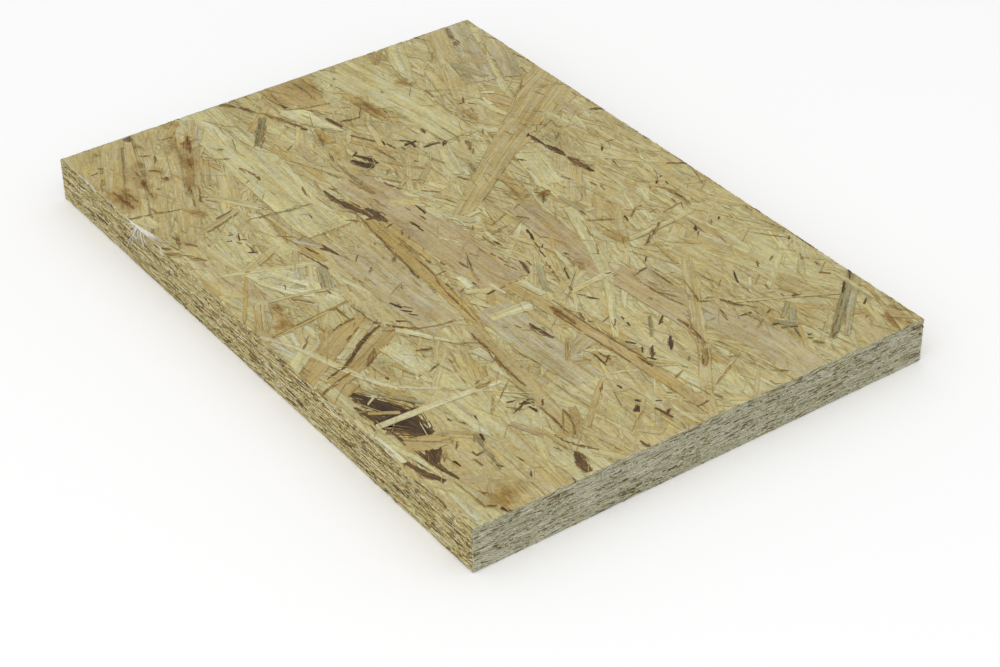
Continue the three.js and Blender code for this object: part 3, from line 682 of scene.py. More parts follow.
# Bark pockets, resin lines, and holes drawn dark as painted shade: a shade, a width, then x and y along each
# one; both ends are pointed.
darkMarks = [
    ("bark", 2.2, -26.6, 58, -26.6, 52, -25.6, 45), ("bark", 4.4, -26, 49, -24.6, 42, -23, 35),
    ("bark", 2.6, -23.2, 39, -22.2, 33, -21.6, 28.6), ("bark", 5, -20.6, 38, -19.4, 32, -19.6, 25.6),
    ("bark", 2.6, -24.6, 31.6, -21.4, 31), ("brown", 1.8, -22.6, 47, -21.8, 40),
    ("bark", 1.9, 60.4, 46, 61, 41, 60.8, 34), ("bark", 3.7, 61.2, 34.8, 62.5, 29.6, 62.5, 24.6),
    ("char", 3, 62.2, 32.4, 62.9, 26.4), ("bark", 3.6, 62.7, 22.8, 63.3, 16, 64, 8.8),
    ("brown", 1.6, 62.9, 20, 63.5, 12), ("char", 3, 63.4, 11.6, 64.4, 8.8),
    ("char", 1.6, 59, 44.6, 61, 46.4), ("olive", 2.4, 62, 46, 65, 46),
    ("bark", 4.4, -46.8, -126.5, -48.6, -131.5, -49, -137.4), ("bark", 3, -49.6, -131, -50, -137),
    ("char", 4.6, -6, 70.6, -4.4, 66, -2, 61.4), ("char", 1.5, -4, 73, -1.2, 74.8),
    ("bark", 2.8, -3, 73, -0.6, 69.4), ("char", 3.8, -1.8, 71.4, 0.8, 68.4, 1, 63),
    ("char", 1.8, 11.4, 76, 11, 73), ("bark", 1.3, 11.8, 73, 12.8, 68), ("char", 1.7, 17.2, 72, 20, 69.4),
    ("char", 3.6, 17, 67.8, 22, 68), ("char", 2.4, 20, 69, 19.2, 64.4),
    ("bark", 2.4, 29.2, 74.5, 28.4, 70.6), ("bark", 3.2, 22.4, 62.4, 28.8, 61.6),
    ("char", 2.2, 31.6, 61.4, 28.6, 58.6), ("brown", 2.4, 38.2, 56.6, 36.8, 53, 35.8, 49.6),
    ("olive", 1.8, 37.2, 61.5, 36, 57.5), ("olive", 1.2, 36.8, 50, 34.8, 46.6),
    ("olive", 1.4, 48.6, 60, 46.4, 56.8), ("olive", 1.2, 45, 52, 44.8, 49.6),
    ("brown", 1.6, 56.9, 85.6, 54.6, 82), ("brown", 1.5, 52.6, 81.8, 55.6, 82),
    ("brown", 1.6, 55.8, 80.4, 57.8, 77.2), ("olive", 1.5, 54.7, 76.6, 53.8, 73.4),
    ("umber", 1.1, 84, 82, 80.4, 78.4, 74.6, 73, 69.6, 68.4), ("brown", 1.6, 82.4, 79.6, 79.6, 77.2),
    ("brown", 3, 82, 127, 81, 122.6), ("brown", 2.8, 92.4, 47.4, 97, 44),
    ("olive", 1.3, 94.8, 65, 94.2, 59.4), ("brown", 1.4, 71.6, 51.2, 68.6, 49),
    ("olive", 1.2, 67, 49.4, 65.2, 46), ("char", 2.2, 46, 33, 48, 30.6), ("ochre", 2, 45, 34.4, 46.8, 31.4),
    ("umber", 3.4, 37, 9.6, 41, 8.6, 39.8, 5), ("brown", 2.4, 39, 6.6, 36.8, 4.6, 35.4, 1.4),
    ("brown", 1.2, 41.6, 9, 41.8, 6), ("brown", 1.4, 52.3, 13, 54, 7.4),
    ("olive", 1.4, 70.8, 39.4, 66.6, 36), ("char", 2, 78.4, 21.6, 76, 18.6),
    ("olive", 1.2, 79.8, 23.6, 78, 21), ("brown", 1.1, 81.6, 23.4, 85.6, 22.2),
    ("olive", 1.2, 88, 12.4, 86.2, 9.6), ("brown", 1.2, 75.2, 10.6, 74.2, 7.6),
    ("olive", 1.3, 45, 25.6, 45, 23.4), ("brown", 1.2, 58.2, 3, 58.9, 0),
    ("amber", 2, 60.4, -1, 59.4, -4.6), ("brown", 2, -44, 91.5, -42.2, 86, -41.2, 82, -42, 79.4),
    ("olive", 1, -49.4, 79.6, -45.2, 81.6), ("brown", 1.5, -31.6, 66, -33.6, 57),
    ("brown", 1.4, -66, 92, -68.6, 84, -71.6, 77.6), ("brown", 1, -63, 90, -65, 85, -68, 79.4),
    ("brown", 1.4, -97, 84.8, -90, 82.6, -87, 82), ("brown", 1.3, -86, 82.4, -80, 79.2, -75.4, 79),
    ("brown", 1.6, -85.6, 87, -85, 82), ("olive", 1.5, -60.6, 57.8, -55, 56.4, -45, 54, -35, 53),
    ("brown", 1.6, -54.6, 56.4, -51.4, 56), ("char", 1.3, -68, 51.6, -70, 47.4),
    ("char", 1.1, -71.6, 52.6, -70, 52.2), ("brown", 1.2, -74, 49.4, -72.6, 48.6),
    ("brown", 1.2, -71.4, 46.6, -70.2, 45.2), ("brown", 1.1, -69, 47.6, -67.6, 46.2),
    ("brown", 2, -87.8, 58.6, -84.6, 53.4), ("brown", 1.8, -87.2, 64, -89.6, 57),
    ("brown", 2.2, -88.8, 64, -87.8, 60.4), ("brown", 1.8, -92.4, 59.4, -91.4, 55.4),
    ("brown", 2.2, -95.6, 60, -93.4, 57), ("umber", 2.6, -97.5, 56.8, -93, 52.6, -89.6, 47.6, -86.6, 43),
    ("brown", 1.5, -89.4, 47.2, -86.4, 42.8), ("brown", 1.5, -52.6, 63.2, -51.6, 61),
    ("brown", 1.1, -40, 46.6, -40.4, 44.6), ("brown", 1, -81, 51.8, -80.8, 50.2),
    ("char", 2, -71.6, 38.4, -68.8, 36.8), ("brown", 1, -69.2, 44, -69.6, 35.6),
    ("brown", 1.6, -53, 34, -50.4, 35.2), ("char", 1.2, -53, 28.8, -52.2, 25, -51.6, 22.4),
    ("bark", 1.5, -55, 19.4, -54.2, 15.6, -53.8, 12), ("brown", 0.9, -56.8, 29, -55.6, 23, -54.9, 19.6),
    ("bark", 2.4, -49, 25, -47.4, 21.6), ("bark", 1.8, -47.2, 26.6, -46.8, 21.4, -45.8, 17.4),
    ("brown", 0.9, -45.4, 17, -44.4, 12.4), ("brown", 1.2, -44.4, 9, -40, 13.4),
    ("brown", 1.7, -43.4, 1, -40.6, 3.4), ("brown", 1.8, -30.4, 4, -33, 1.6),
    ("brown", 1.2, -30, 17, -32.6, 14.4), ("brown", 1.7, -30.6, 35.4, -27.6, 32.4),
    ("brown", 1.3, -25.6, 36, -26.4, 28, -27.6, 21, -28.4, 10, -29.4, 1, -30.2, -8),
    ("brown", 1.1, -72, 12.4, -73.4, 9.4), ("brown", 1.4, -74.6, 3, -69.6, -3.6),
    ("ochre", 2.4, -82.6, 5, -81, -0.6), ("brown", 1.5, -61, 6.6, -61.8, 3.8),
    ("brown", 1.5, -61.4, 1, -61.6, -2), ("amber", 1.8, -54, 0, -55.2, -5),
    ("brown", 1.2, -49, -1, -49, -5.6), ("amber", 2.2, -46.6, 0.4, -46, -3.4),
    ("olive", 1.8, -12, 73, -12.6, 64, -12.4, 55, -12.2, 45), ("umber", 2.8, -14.6, 59, -14, 50, -12.6, 45),
    ("brown", 1.3, -10.2, 80.6, -10.4, 77, -11.8, 74.4), ("brown", 1.2, 6.4, 72.6, 7, 68, 8.2, 60.4),
    ("brown", 1.6, 3.8, 87, 6.4, 82.6, 9.2, 77.6), ("brown", 1.2, -4.6, 95.6, -7, 91, -9, 86.4),
    ("brown", 1.5, -24.2, 58.6, -22.2, 56), ("olive", 1.7, -18.4, 68, -16.8, 62.6),
    ("olive", 1.3, -0.6, 54.2, 2.6, 57), ("brown", 1.8, -5, 49.6, -3.4, 44.6),
    ("brown", 1.6, 13, 56.4, 14.2, 54.6), ("brown", 1.8, 14.8, 67.4, 15, 65),
    ("olive", 1, 20, 65, 20.2, 57), ("olive", 1, 30.4, 66, 30.6, 60),
    ("brown", 1.6, -3.4, 43.6, -1.8, 41.6), ("brown", 1.5, 3, 37, 4.8, 34.6),
    ("umber", 1.4, 5, 34.4, 8.6, 31), ("umber", 2.4, 11, 52.6, 13.4, 48.6), ("umber", 1.6, 5, 45, 8, 41.6),
    ("umber", 1.4, -7.6, 58.4, -6.6, 56.6), ("brown", 1.2, 7.2, 25.6, 8.8, 21),
    ("brown", 1.4, 20, 36.4, 22.2, 32), ("olive", 2.2, 29.6, 42, 28.6, 37.6, 27.4, 35),
    ("char", 1.2, -12.4, 21, -12, 16, -12, 12.6), ("char", 1.8, -4.4, 29, -4.2, 25, -4.6, 22),
    ("bark", 1.3, -7.2, 22, -6.8, 18.4), ("brown", 1.3, -8.4, 30.4, -8, 26.6),
    ("olive", 1.4, -14.6, 42, -14, 33.6), ("olive", 1, -17.6, 44, -18, 35.4),
    ("bark", 1.3, -22, 22.2, -18.6, 23.4), ("brown", 1.1, -24.6, -1, -25, -10, -25.2, -15),
    ("brown", 1.3, -25.6, -15, -28, -24, -29, -36, -30, -48), ("brown", 1, -25, -14.6, -20.4, -14.4),
    ("brown", 2.4, -43.6, 109.4, -42, 107.4), ("brown", 1.8, -17.8, 17.6, -19.8, 14.6),
    ("olive", 1.5, -17.8, 13.2, -19.4, 10.6), ("brown", 1.4, 4.8, 4.4, 3, 2),
    ("brown", 1.4, 13.4, 12.4, 13.4, 10.6), ("umber", 0.8, 10, 0.6, 14, 1.6, 19.4, 4),
    ("amber", 1.2, 7, -4.4, 17, -2.2), ("brown", 2.4, 21.6, 0, 24.4, -4),
    ("olive", 1, 23.6, 4.8, 27.4, 6.2), ("amber", 1.8, 32, 9.2, 34, 9),
    ("char", 2.6, -47.8, -19.6, -46.6, -24.4), ("char", 1.1, -46.4, -23.4, -43.4, -27),
    ("char", 1.3, -47.4, -25.6, -44.8, -28.6), ("char", 1.1, -46.4, -29.4, -44.4, -31.8),
    ("bark", 1.8, -52.4, -30.2, -49.6, -32.2), ("umber", 1.4, -54, -33, -49, -39, -43, -41, -34, -42.4),
    ("brown", 1.5, -59.2, -27, -57.2, -25.6), ("umber", 1.2, -60, -12.4, -59.6, -18, -59.2, -25),
    ("umber", 1, -76.4, -14.6, -75.6, -20.4), ("brown", 2.6, -59.4, -26, -57.4, -28),
    ("bark", 1.8, -56.4, -30, -55, -32.6, -52.8, -35), ("brown", 2.4, -60, -32, -56, -34.6),
    ("bark", 2, -83.4, -43.4, -78, -40.4, -72, -36, -66, -32, -58.6, -28.8),
    ("bark", 1.6, -90, -45, -84, -43), ("brown", 1.8, -74, -22.6, -69, -19.4, -63.6, -20.2),
    ("brown", 2.6, -65, -10.6, -64.8, -20), ("brown", 1.3, -66.8, -24.4, -64.4, -22.2),
    ("brown", 1.2, -72.4, -29.6, -64.6, -25.2), ("brown", 1.7, -97, -52, -88, -48.4, -82, -46.4),
    ("brown", 2.4, -75, -46.6, -70, -42.6, -67.6, -39.4),
    ("umber", 1, -92.4, -13, -80, -11.4, -66, -10, -57, -9), ("brown", 2, -68, -10.6, -64.6, -11),
    ("brown", 1.3, -82, -19.6, -87.4, -25.2), ("brown", 2.4, -56.8, -49, -51.8, -51.4),
    ("char", 1.2, -74, -55.8, -73.6, -57.4), ("brown", 1, -61, -62, -54.8, -60),
    ("ochre", 0.8, -50.4, -60, -52.6, -68, -54, -75), ("amber", 1, -47.6, -56, -51, -68),
    ("brown", 1.6, -35.6, -52, -36.8, -64, -38.2, -76, -38.6, -88), ("umber", 2.6, -52.6, -79.4, -47, -79),
    ("brown", 1.2, -51.4, -77, -49.4, -76), ("ochre", 1.5, -51, -86.4, -57, -94.2),
    ("char", 1.1, -62, -91.6, -62.4, -93.6), ("char", 1.2, -70, -87.4, -69.8, -89),
    ("brown", 1.3, -67.8, -91.4, -66.8, -93), ("bark", 2.8, -46, -95, -42, -97),
    ("char", 2.8, -44.4, -98, -43.8, -101.6), ("char", 2.2, -45.4, -95.4, -42.2, -94.6),
    ("olive", 1.4, -50.6, -94, -47, -98), ("olive", 1.4, -43, -91, -40.6, -96),
    ("bark", 1.3, -49, -91.8, -46.2, -92.6), ("bark", 1.8, -40.4, -100, -38.4, -97.4),
    ("bark", 1.2, -51, -98, -45, -95.6), ("char", 2.6, -66, -100.6, -67, -103.8),
    ("olive", 2.8, -67.6, -99.4, -69, -103, -69.6, -107.4),
    ("olive", 2.6, -69.6, -112, -70.6, -115, -71.6, -119.6), ("bark", 1.2, -71.4, -117, -70, -119),
    ("brown", 1.5, -77.4, -102.6, -74.6, -99.4), ("char", 1.5, -81.4, -107, -81, -110.6),
    ("bark", 1.1, -73.8, -106.8, -73.4, -109.4), ("brown", 1.2, -73, -109, -70.6, -108.6),
    ("brown", 1.3, -75.6, -110, -75, -114.6), ("brown", 1.2, -63.4, -117.6, -63.2, -120.4),
    ("ochre", 1.4, -87, -116, -86.8, -124, -86.4, -132), ("brown", 2.2, -86, -132, -83.4, -133.6),
    ("char", 2.4, -82.8, -135.6, -81, -139), ("brown", 1, -83.4, -125.6, -82.4, -126.8),
    ("char", 1.2, -46.8, -115.4, -46.2, -119.2), ("brown", 1.1, -51, -119.4, -50, -123.4),
    ("brown", 1.1, -46.6, -119, -43.6, -125, -40, -130), ("bark", 1.5, -65.8, -128.6, -64.4, -126.2),
    ("brown", 1.1, -41.8, -99, -42, -109, -42.8, -117), ("brown", 1.4, -36.2, -106, -37.4, -113, -41, -119),
    ("brown", 1.3, -17, -102.4, -20.4, -105.6), ("char", 1, -13.4, -106, -13.2, -108.4),
    ("char", 2, -14, -116, -12.8, -117.6), ("char", 3.2, -17.6, -121, -15, -119.8),
    ("char", 1.8, -16.8, -122, -15, -118.6), ("char", 1.3, -8.6, -120.4, -7, -121.2),
    ("bark", 2.4, -11.2, -123.6, -10.4, -127.4, -9.8, -130.8), ("bark", 2.6, -10.4, -128.4, -7.8, -126.8),
    ("bark", 2.6, -26.2, -134.8, -25.8, -139), ("olive", 1.2, -2.6, -119, -1.4, -120.4),
    ("bark", 3, -16, -59.4, -15.6, -65, -14.4, -71), ("char", 1.5, -16.2, -61, -15, -67),
    ("olive", 1.4, -20, -61, -17.6, -62.4), ("olive", 1.2, -24.4, -55.4, -23.6, -57),
    ("brown", 1.4, -20.8, -57, -19.8, -59.6), ("amber", 2, -19.4, -70.4, -18.2, -76),
    ("bark", 1.2, -8.8, -86.6, -9.4, -94.6), ("brown", 1.8, -7, -87.6, -6.2, -92.6),
    ("umber", 0.8, -11, -75, -14, -79.4, -18, -84), ("bark", 1.2, -5.4, -90.6, -8.4, -93.4),
    ("brown", 1.9, 2, -64, 0.8, -68.8), ("olive", 1.7, 1.6, -70, 3, -72),
    ("brown", 1.2, 5.4, -73.8, 8.8, -72.2), ("brown", 1.7, 8.6, -54.4, 10.6, -57),
    ("bark", 1.7, 10.2, -58, 12.8, -61.6), ("brown", 1.1, 6.6, -78.6, 9.8, -74.8),
    ("char", 1, 12.5, -75, 12, -76.8), ("char", 1, 11.9, -79, 11.6, -81),
    ("char", 1.3, 24.4, -83, 21, -85.6), ("char", 1.8, 20.2, -86.2, 22.4, -85.8),
    ("bark", 1.7, 4.4, -87.6, 6.6, -90.6), ("char", 1.7, 6.8, -93.6, 5.2, -96),
    ("bark", 3, 10, -95.4, 6.2, -100), ("char", 1.8, 4.6, -99.4, 6.2, -102),
    ("char", 2.8, 18.6, -94.4, 16.6, -97, 14.2, -100.6),
    ("brown", 2.4, 27.2, -88, 28.4, -92, 26.6, -99, 26, -105), ("umber", 1.8, 31, -90, 28, -95),
    ("ochre", 0.9, 33.4, -115.4, 24, -120, 13, -125.4),
    ("umber", 3, 24.4, -107.6, 20.6, -112.4, 16.6, -115.4), ("brown", 1.8, 20.4, -110, 17.4, -114),
    ("bark", 1.1, 2.2, -97, 2.8, -104.6), ("brown", 1, 31, -60, 32, -70, 34.4, -82),
    ("brown", 1.1, 39.2, -57, 39.6, -70), ("brown", 1.4, 32, -57.6, 35, -55.6, 38.8, -56),
    ("char", 1.1, 62.9, -76, 60.6, -79, 59.2, -83), ("bark", 1.4, 73.2, -76.6, 71.6, -79.4),
    ("brown", 1.7, 80.4, -77, 77.6, -78.8), ("brown", 2, 89.4, -81.6, 87.6, -85.4),
    ("brown", 1.1, 90.2, -89, 90, -93), ("brown", 2, 86.6, -95.4, 89.6, -98),
    ("char", 1.2, 94, -70.6, 92.6, -72), ("olive", 1, 96, -65.6, 92.6, -69),
    ("brown", 1.6, 47, -87, 49, -91, 51, -95), ("olive", 1.3, 50.4, -93, 54, -99),
    ("brown", 1.3, 43.4, -91, 41, -98.6), ("bark", 1.6, 46.2, -99.2, 50.6, -99.8),
    ("brown", 1.5, 40.6, -84, 44, -86.4), ("amber", 2, 43.6, -83.6, 47, -84.6),
    ("brown", 2.4, 41.6, -80, 39.8, -84), ("amber", 1.2, 59, -84, 58.6, -90),
    ("ochre", 0.8, 61, -89.6, 68.4, -83.4), ("olive", 1.5, 66.4, -89.6, 65.6, -92.6),
    ("olive", 1.3, 67.2, -97, 66.6, -99), ("brown", 2.2, 69, -100.6, 72, -102.2),
    ("amber", 1, 68.6, -94, 71, -101), ("bark", 1.8, 51.6, -110, 54, -110.8),
    ("brown", 1.3, 53.2, -113.2, 54.6, -114.2), ("bark", 1.4, 56, -114.6, 58.2, -116),
    ("brown", 1.2, 56.6, -116, 54.8, -121), ("char", 1.5, 57.6, -122, 59, -122),
    ("brown", 1.2, 56.4, -123, 57.8, -124.4), ("olive", 2.4, 56.6, -126, 59, -129),
    ("bark", 1.1, 55, -103.6, 57, -102.4), ("amber", 1, 54.6, -103.4, 46.6, -108.2),
    ("char", 1.8, 84.6, -109.6, 90, -105), ("brown", 0.5, 64.4, -126.4, 74, -119, 83, -112),
    ("bark", 1.4, 63.6, -127.8, 67, -126.6), ("olive", 1, 80.4, -116.6, 72.6, -123.6),
    ("char", 1.2, 85.8, -119.4, 89, -117.4), ("olive", 1.3, 80.8, -126, 83, -125),
    ("bark", 1.5, 97, -100, 92.6, -104.8), ("char", 2.6, 69, -47.4, 70.4, -45),
    ("brown", 1.2, 69.4, -48.4, 66.8, -51), ("char", 1.8, 80.5, -46.4, 81.7, -45.2),
    ("olive", 1.2, 85.6, -46, 85.4, -48.4), ("olive", 1.2, 94.9, -45.2, 94.3, -49.6),
    ("bark", 1.1, 43.2, -50.4, 40.8, -52.6), ("brown", 2, 61.4, -35, 57, -38, 52, -41.6, 47.6, -44),
    ("brown", 1, 61, -21.4, 58, -24.4, 55.4, -26), ("char", 1.5, 54, -23.8, 53, -27),
    ("olive", 1.4, 62.6, -21.4, 63.8, -22), ("brown", 1.1, 54.8, -10, 55.6, -13.4),
    ("brown", 1.5, 43, -10.6, 42.4, -14.8), ("umber", 0.9, 41, -17.6, 46, -21.4, 51.4, -24.4),
    ("umber", 1.8, 77.6, -16, 79.4, -22, 79.6, -26, 78.8, -32),
    ("bark", 1.7, 79.2, -22.6, 79.9, -25.4, 79.4, -28.4), ("umber", 1, 76.4, -14.6, 79.4, -18, 80.2, -22),
    ("char", 1.7, 77.6, -13, 79, -11.6), ("brown", 1.1, 81.6, -10, 83, -9.4),
    ("char", 1.2, 81.8, -13.8, 81, -16), ("brown", 1.3, 73.6, -14.6, 74.4, -13.2),
    ("umber", 0.9, 66.6, -30.6, 72, -29.2, 77, -29), ("umber", 1.6, 75.6, -24.6, 75, -29.6),
    ("umber", 1.2, 63, -27.6, 66.6, -27), ("brown", 1.2, 90.4, -3.4, 97, -8.4),
    ("umber", 0.9, 39, -17, 36.8, -25.4, 34, -33, 30.4, -38.4), ("char", 1.9, 19.2, -9.8, 18.4, -13.4),
    ("char", 2.4, 18.6, -13, 17, -16.8), ("bark", 1, 16.4, -18.6, 15.4, -22.6),
    ("bark", 1.2, 14.8, -23.4, 13.6, -28.6), ("bark", 1.4, 18, -21.2, 16.4, -23),
    ("char", 1.6, 14, -40.6, 12.2, -44.8), ("char", 1.2, 15, -38.4, 14, -40),
    ("brown", 1.1, 12, -31, 9.8, -38.6, 7.6, -47.4), ("char", 1.4, 21, -30.4, 21.4, -32.4),
    ("brown", 1.5, 20.8, -17, 21.6, -19), ("brown", 2.4, 9.2, -49, 8.4, -51.6),
    ("olive", 1.4, 10.8, -32.6, 12, -34.6), ("brown", 1.1, 23.6, -50, 26.4, -50.8),
    ("brown", 2.4, -22.4, -4, -22, -6.6), ("char", 1.3, -25, -21.4, -25.4, -26.2),
    ("brown", 1.2, -24, -28.8, -21.2, -27.2), ("bark", 1.1, -30.4, -6, -30.9, -12.6),
    ("brown", 1.3, -18.8, -8.4, -18.6, -11), ("brown", 1.5, -9.2, -11.4, -11, -16, -12.6, -20.4),
    ("brown", 1, -13.4, -11, -13.2, -18), ("amber", 1.8, -13.2, -19, -14.4, -27),
    ("brown", 1.2, -0.9, -15, -0.4, -17.4), ("brown", 1, 0, -18.6, 0.6, -24.6),
    ("brown", 1.2, 0, -25.6, 0.2, -29), ("bark", 1.3, 4.8, -8.6, 5.4, -13),
    ("brown", 0.8, 3.2, -4, 3.6, -11.4), ("bark", 1.7, 4.6, -25, 4.4, -30, 2.6, -33.4),
    ("bark", 1.2, 6.9, -26.6, 6.4, -30), ("umber", 0.7, -11.4, -35.6, -5, -34.4, 0.6, -33.2),
    ("bark", 1.9, -17, -35.6, -13.6, -35), ("char", 1, -17.3, -26.6, -16.8, -28),
    ("brown", 2.8, -3.4, -55, -3, -69), ("brown", 0.9, -5.4, -53, -4.6, -72, -1.6, -98),
    ("brown", 0.9, -0.8, -52, 0.8, -78, 3.8, -100), ("brown", 1.6, 0.6, -131, 3, -133.6, 5.4, -130.6),
    ("brown", 2.4, 35.8, -131.8, 37.6, -134.4), ("olive", 2.2, 9.6, -129.4, 10.4, -132.2),
    ("olive", 1.3, 10.8, -110.4, 12.2, -111.8), ("olive", 1.4, 16.8, -107.4, 13.8, -109.6),
    ("brown", 1.2, 5, -114.2, 10, -112.6), ("olive", 1.5, 27, -115.6, 29.6, -116.6),
    ("brown", 2, -53.6, 113, -50.6, 119, -48.6, 125), ("umber", 1.4, -59, 101, -56.6, 109),
    ("brown", 2.4, -79.4, 105, -79, 101), ("brown", 1.6, -68.8, 113.4, -66, 119),
    ("brown", 2, -70, 121.6, -67, 120.6), ("brown", 1.6, -72.6, 111, -70, 108),
    ("brown", 1.6, -71.6, 103, -70.4, 100), ("bark", 1.2, -80.2, 102, -78.4, 104),
    ("umber", 1.8, -91.6, 105, -90.6, 90), ("umber", 1.4, -77.6, 113, -79, 104, -81, 93),
    ("umber", 1.2, -88, 104, -87, 92), ("olive", 2.6, -57.4, 128.6, -53.6, 127.6),
    ("brown", 1.7, -24.4, 139, -20.8, 132.6), ("brown", 2.4, -19.8, 132, -16.8, 125),
    ("umber", 1.7, -15.4, 123, -10.8, 112, -8, 102), ("bark", 2, -9.6, 108, -7.8, 104.4),
    ("bark", 1.6, -8.8, 103, -7.4, 100.8), ("umber", 1.2, -29.4, 99.6, -19, 113.4),
    ("olive", 1.4, -13.4, 108.6, -12.8, 106.6), ("umber", 1.4, -6, 119, 3, 115, 11, 113.4),
    ("bark", 2.4, 3.4, 104, 3.8, 100, 4.8, 94.6), ("ochre", 1.4, 22.4, 106.6, 22.4, 90.6),
    ("umber", 1.2, 21.6, 104, 22.4, 97, 22.6, 89.6), ("brown", 1.4, 25, 95, 25.2, 93),
    ("brown", 1, 14.6, 96.6, 18.4, 102.4), ("brown", 1.6, 6.8, 98.4, 10, 96.8, 14.4, 96.4),
    ("brown", 1.1, -22.4, 91.6, -18.8, 93.8), ("olive", 1.8, 47.6, 99, 47.4, 93),
    ("olive", 1.3, 28, 138, 27.8, 135.6), ("olive", 1.2, 23, 130, 22.8, 128),
    ("olive", 1.2, 33, 109.2, 32.8, 107), ("brown", 1.2, -92.4, 120.4, -89.6, 121),
    ("brown", 1.2, -87.8, 124, -87.2, 122.6), ("brown", 1.2, -70.4, 122.6, -69.6, 121.2),
    ("brown", 1, -66, 117.4, -69.2, 113.6), ("brown", 1.1, -73, 117.6, -72.8, 116),
    ("brown", 1.2, -70, 102.8, -69.8, 101), ("brown", 1.2, -76.6, 97.2, -76.2, 95.4),
    ("brown", 1.2, -67, 137, -66.8, 135), ("olive", 1.2, -84, 134, -83.8, 132),
    ("brown", 1.1, -47, 102.4, -43.6, 99.6), ("olive", 1.1, -33, 125, -32.8, 123),
    ("olive", 1.1, -33, 119, -32.8, 117), ("ochre", 1, -3, 137, -5, 130, -5, 122),
    ("umber", 1, 7.6, 136, 8.4, 130, 8, 122), ("umber", 1, 12.2, 137, 12.4, 130, 13.2, 122),
    ("amber", 1.6, 33, -54, 31, -62), ("umber", 0.9, 64, 118, 68.6, 124.6), ("amber", 1.2, 46, 90, 46, 62),
    ("oak", 0.9, 32, 60.6, 44, 61), ("oak", 0.9, -49, 33.2, -30.4, 32.6),
    ("umber", 0.9, -62.4, 33, -70.4, 29.4), ("umber", 1, -60.4, 64.4, -70, 61, -76.4, 59),
    ("umber", 0.9, -61.6, 67.2, -69.4, 65.2),
]

# How the laid strands are drawn and stacked, in millimetres; the depths count down from the face.
layout = {
    "seed": 7, "step": 4.0, "sway": 0.07, "edgeSway": 0.12, "bandWidth": 1.3, "tear": 0.28, "tearMost": 2.4,
    "keel": 0.2, "inset": 0.12, "border": 0.1, "shadeJitter": 0.012,
    "bedDepth": (0.22, 0.36), "depth": (0.03, 0.18),
    "barkShades": ("char", "bark"), "barkStep": 1.6, "barkSway": 0.3, "barkHeart": 0.85,
    "markFibres": 1.2, "markReach": (1.2, 5.0), "markWidth": (0.12, 0.5), "markStep": 2.0,
    "markSpread": 0.32, "markLean": 0.25, "markFade": 0.12,
}


def smoothRun(path, lengths, count):
    # evenly spaced rows on a smooth run through the given ones, and the distance along it
    reach = np.concatenate([[0], np.cumsum(lengths)])
    at = np.linspace(0, reach[-1], count(reach[-1]))
    line = np.stack([np.interp(at, reach, path[:, k]) for k in range(3)], 1)
    for _ in range(3):
        line[1:-1] = (line[:-2] + 2 * line[1:-1] + line[2:]) / 4
    return line, at


def alongPath(path, step):
    # the same for a flat path of places and widths
    lengths = np.hypot(*np.diff(path[:, :2], axis=0).T)
    return smoothRun(path, lengths, lambda whole: max(4, int(whole / step) + 1))


def sideways(line):
    # unit steps along a line and to its left
    heading = np.gradient(line[:, :2], axis=0)
    heading /= np.linalg.norm(heading, axis=1)[:, None]
    return heading, np.stack([-heading[:, 1], heading[:, 0]], 1)


def laidStrand(rng, path, step, sway, look):
    # outline and spine of one strand: x, y, distance along and across, and share of the way to the side
    line, at = alongPath(path, step)
    heading, across = sideways(line)
    halves = line[:, 2] / 2
    slim = 2 * halves.max() < 1.5 * look["bandWidth"]
    sides = []
    for side in (-1, 1):
        notched = rng.uniform(0, sway, len(at)) * halves
        notched += rng.uniform(0, look["edgeSway"], len(at)) * (not slim)
        out = side * (halves - notched)
        sides.append(np.column_stack([line[:, :2] + across * out[:, None], at, out, np.full(len(at), side)]))
    spine = np.column_stack([line[:, :2], at, np.zeros((len(at), 2))])

    def tornEnd(index, way):
        # one tooth for each band of fibres, with a notch between neighbours
        width = 2 * halves[index]
        bands = int(np.clip(round(width / look["bandWidth"]), 1, 8))
        tear = width * 1.2 if slim else min(width * look["tear"] + 0.3, look["tearMost"])
        cuts = np.linspace(-way, way, bands + 1) * halves[index]
        teeth = []
        for band in range(bands):
            tips = [(cuts[band] + rng.random() * (cuts[band + 1] - cuts[band]), rng.uniform(0.3, 1.0))]
            if band < bands - 1:
                tips.append((cuts[band + 1], rng.uniform(0.0, 0.45)))
            for off, out in tips:
                spot = line[index, :2] + across[index] * off + heading[index] * way * tear * out
                teeth.append([*spot, at[index] + way * tear * out, off, off / halves[index]])
        spine[index, :2] -= heading[index] * way * tear * 0.5
        return teeth

    endTeeth, startTeeth = tornEnd(-1, 1), tornEnd(0, -1)
    outline = np.array([*sides[0], *endTeeth, *sides[1][::-1], *startTeeth])
    last = len(at) - 1
    hooks = [*range(last + 1), *[last] * len(endTeeth), *range(last, -1, -1), *[0] * len(startTeeth)]
    return outline, spine, hooks, halves


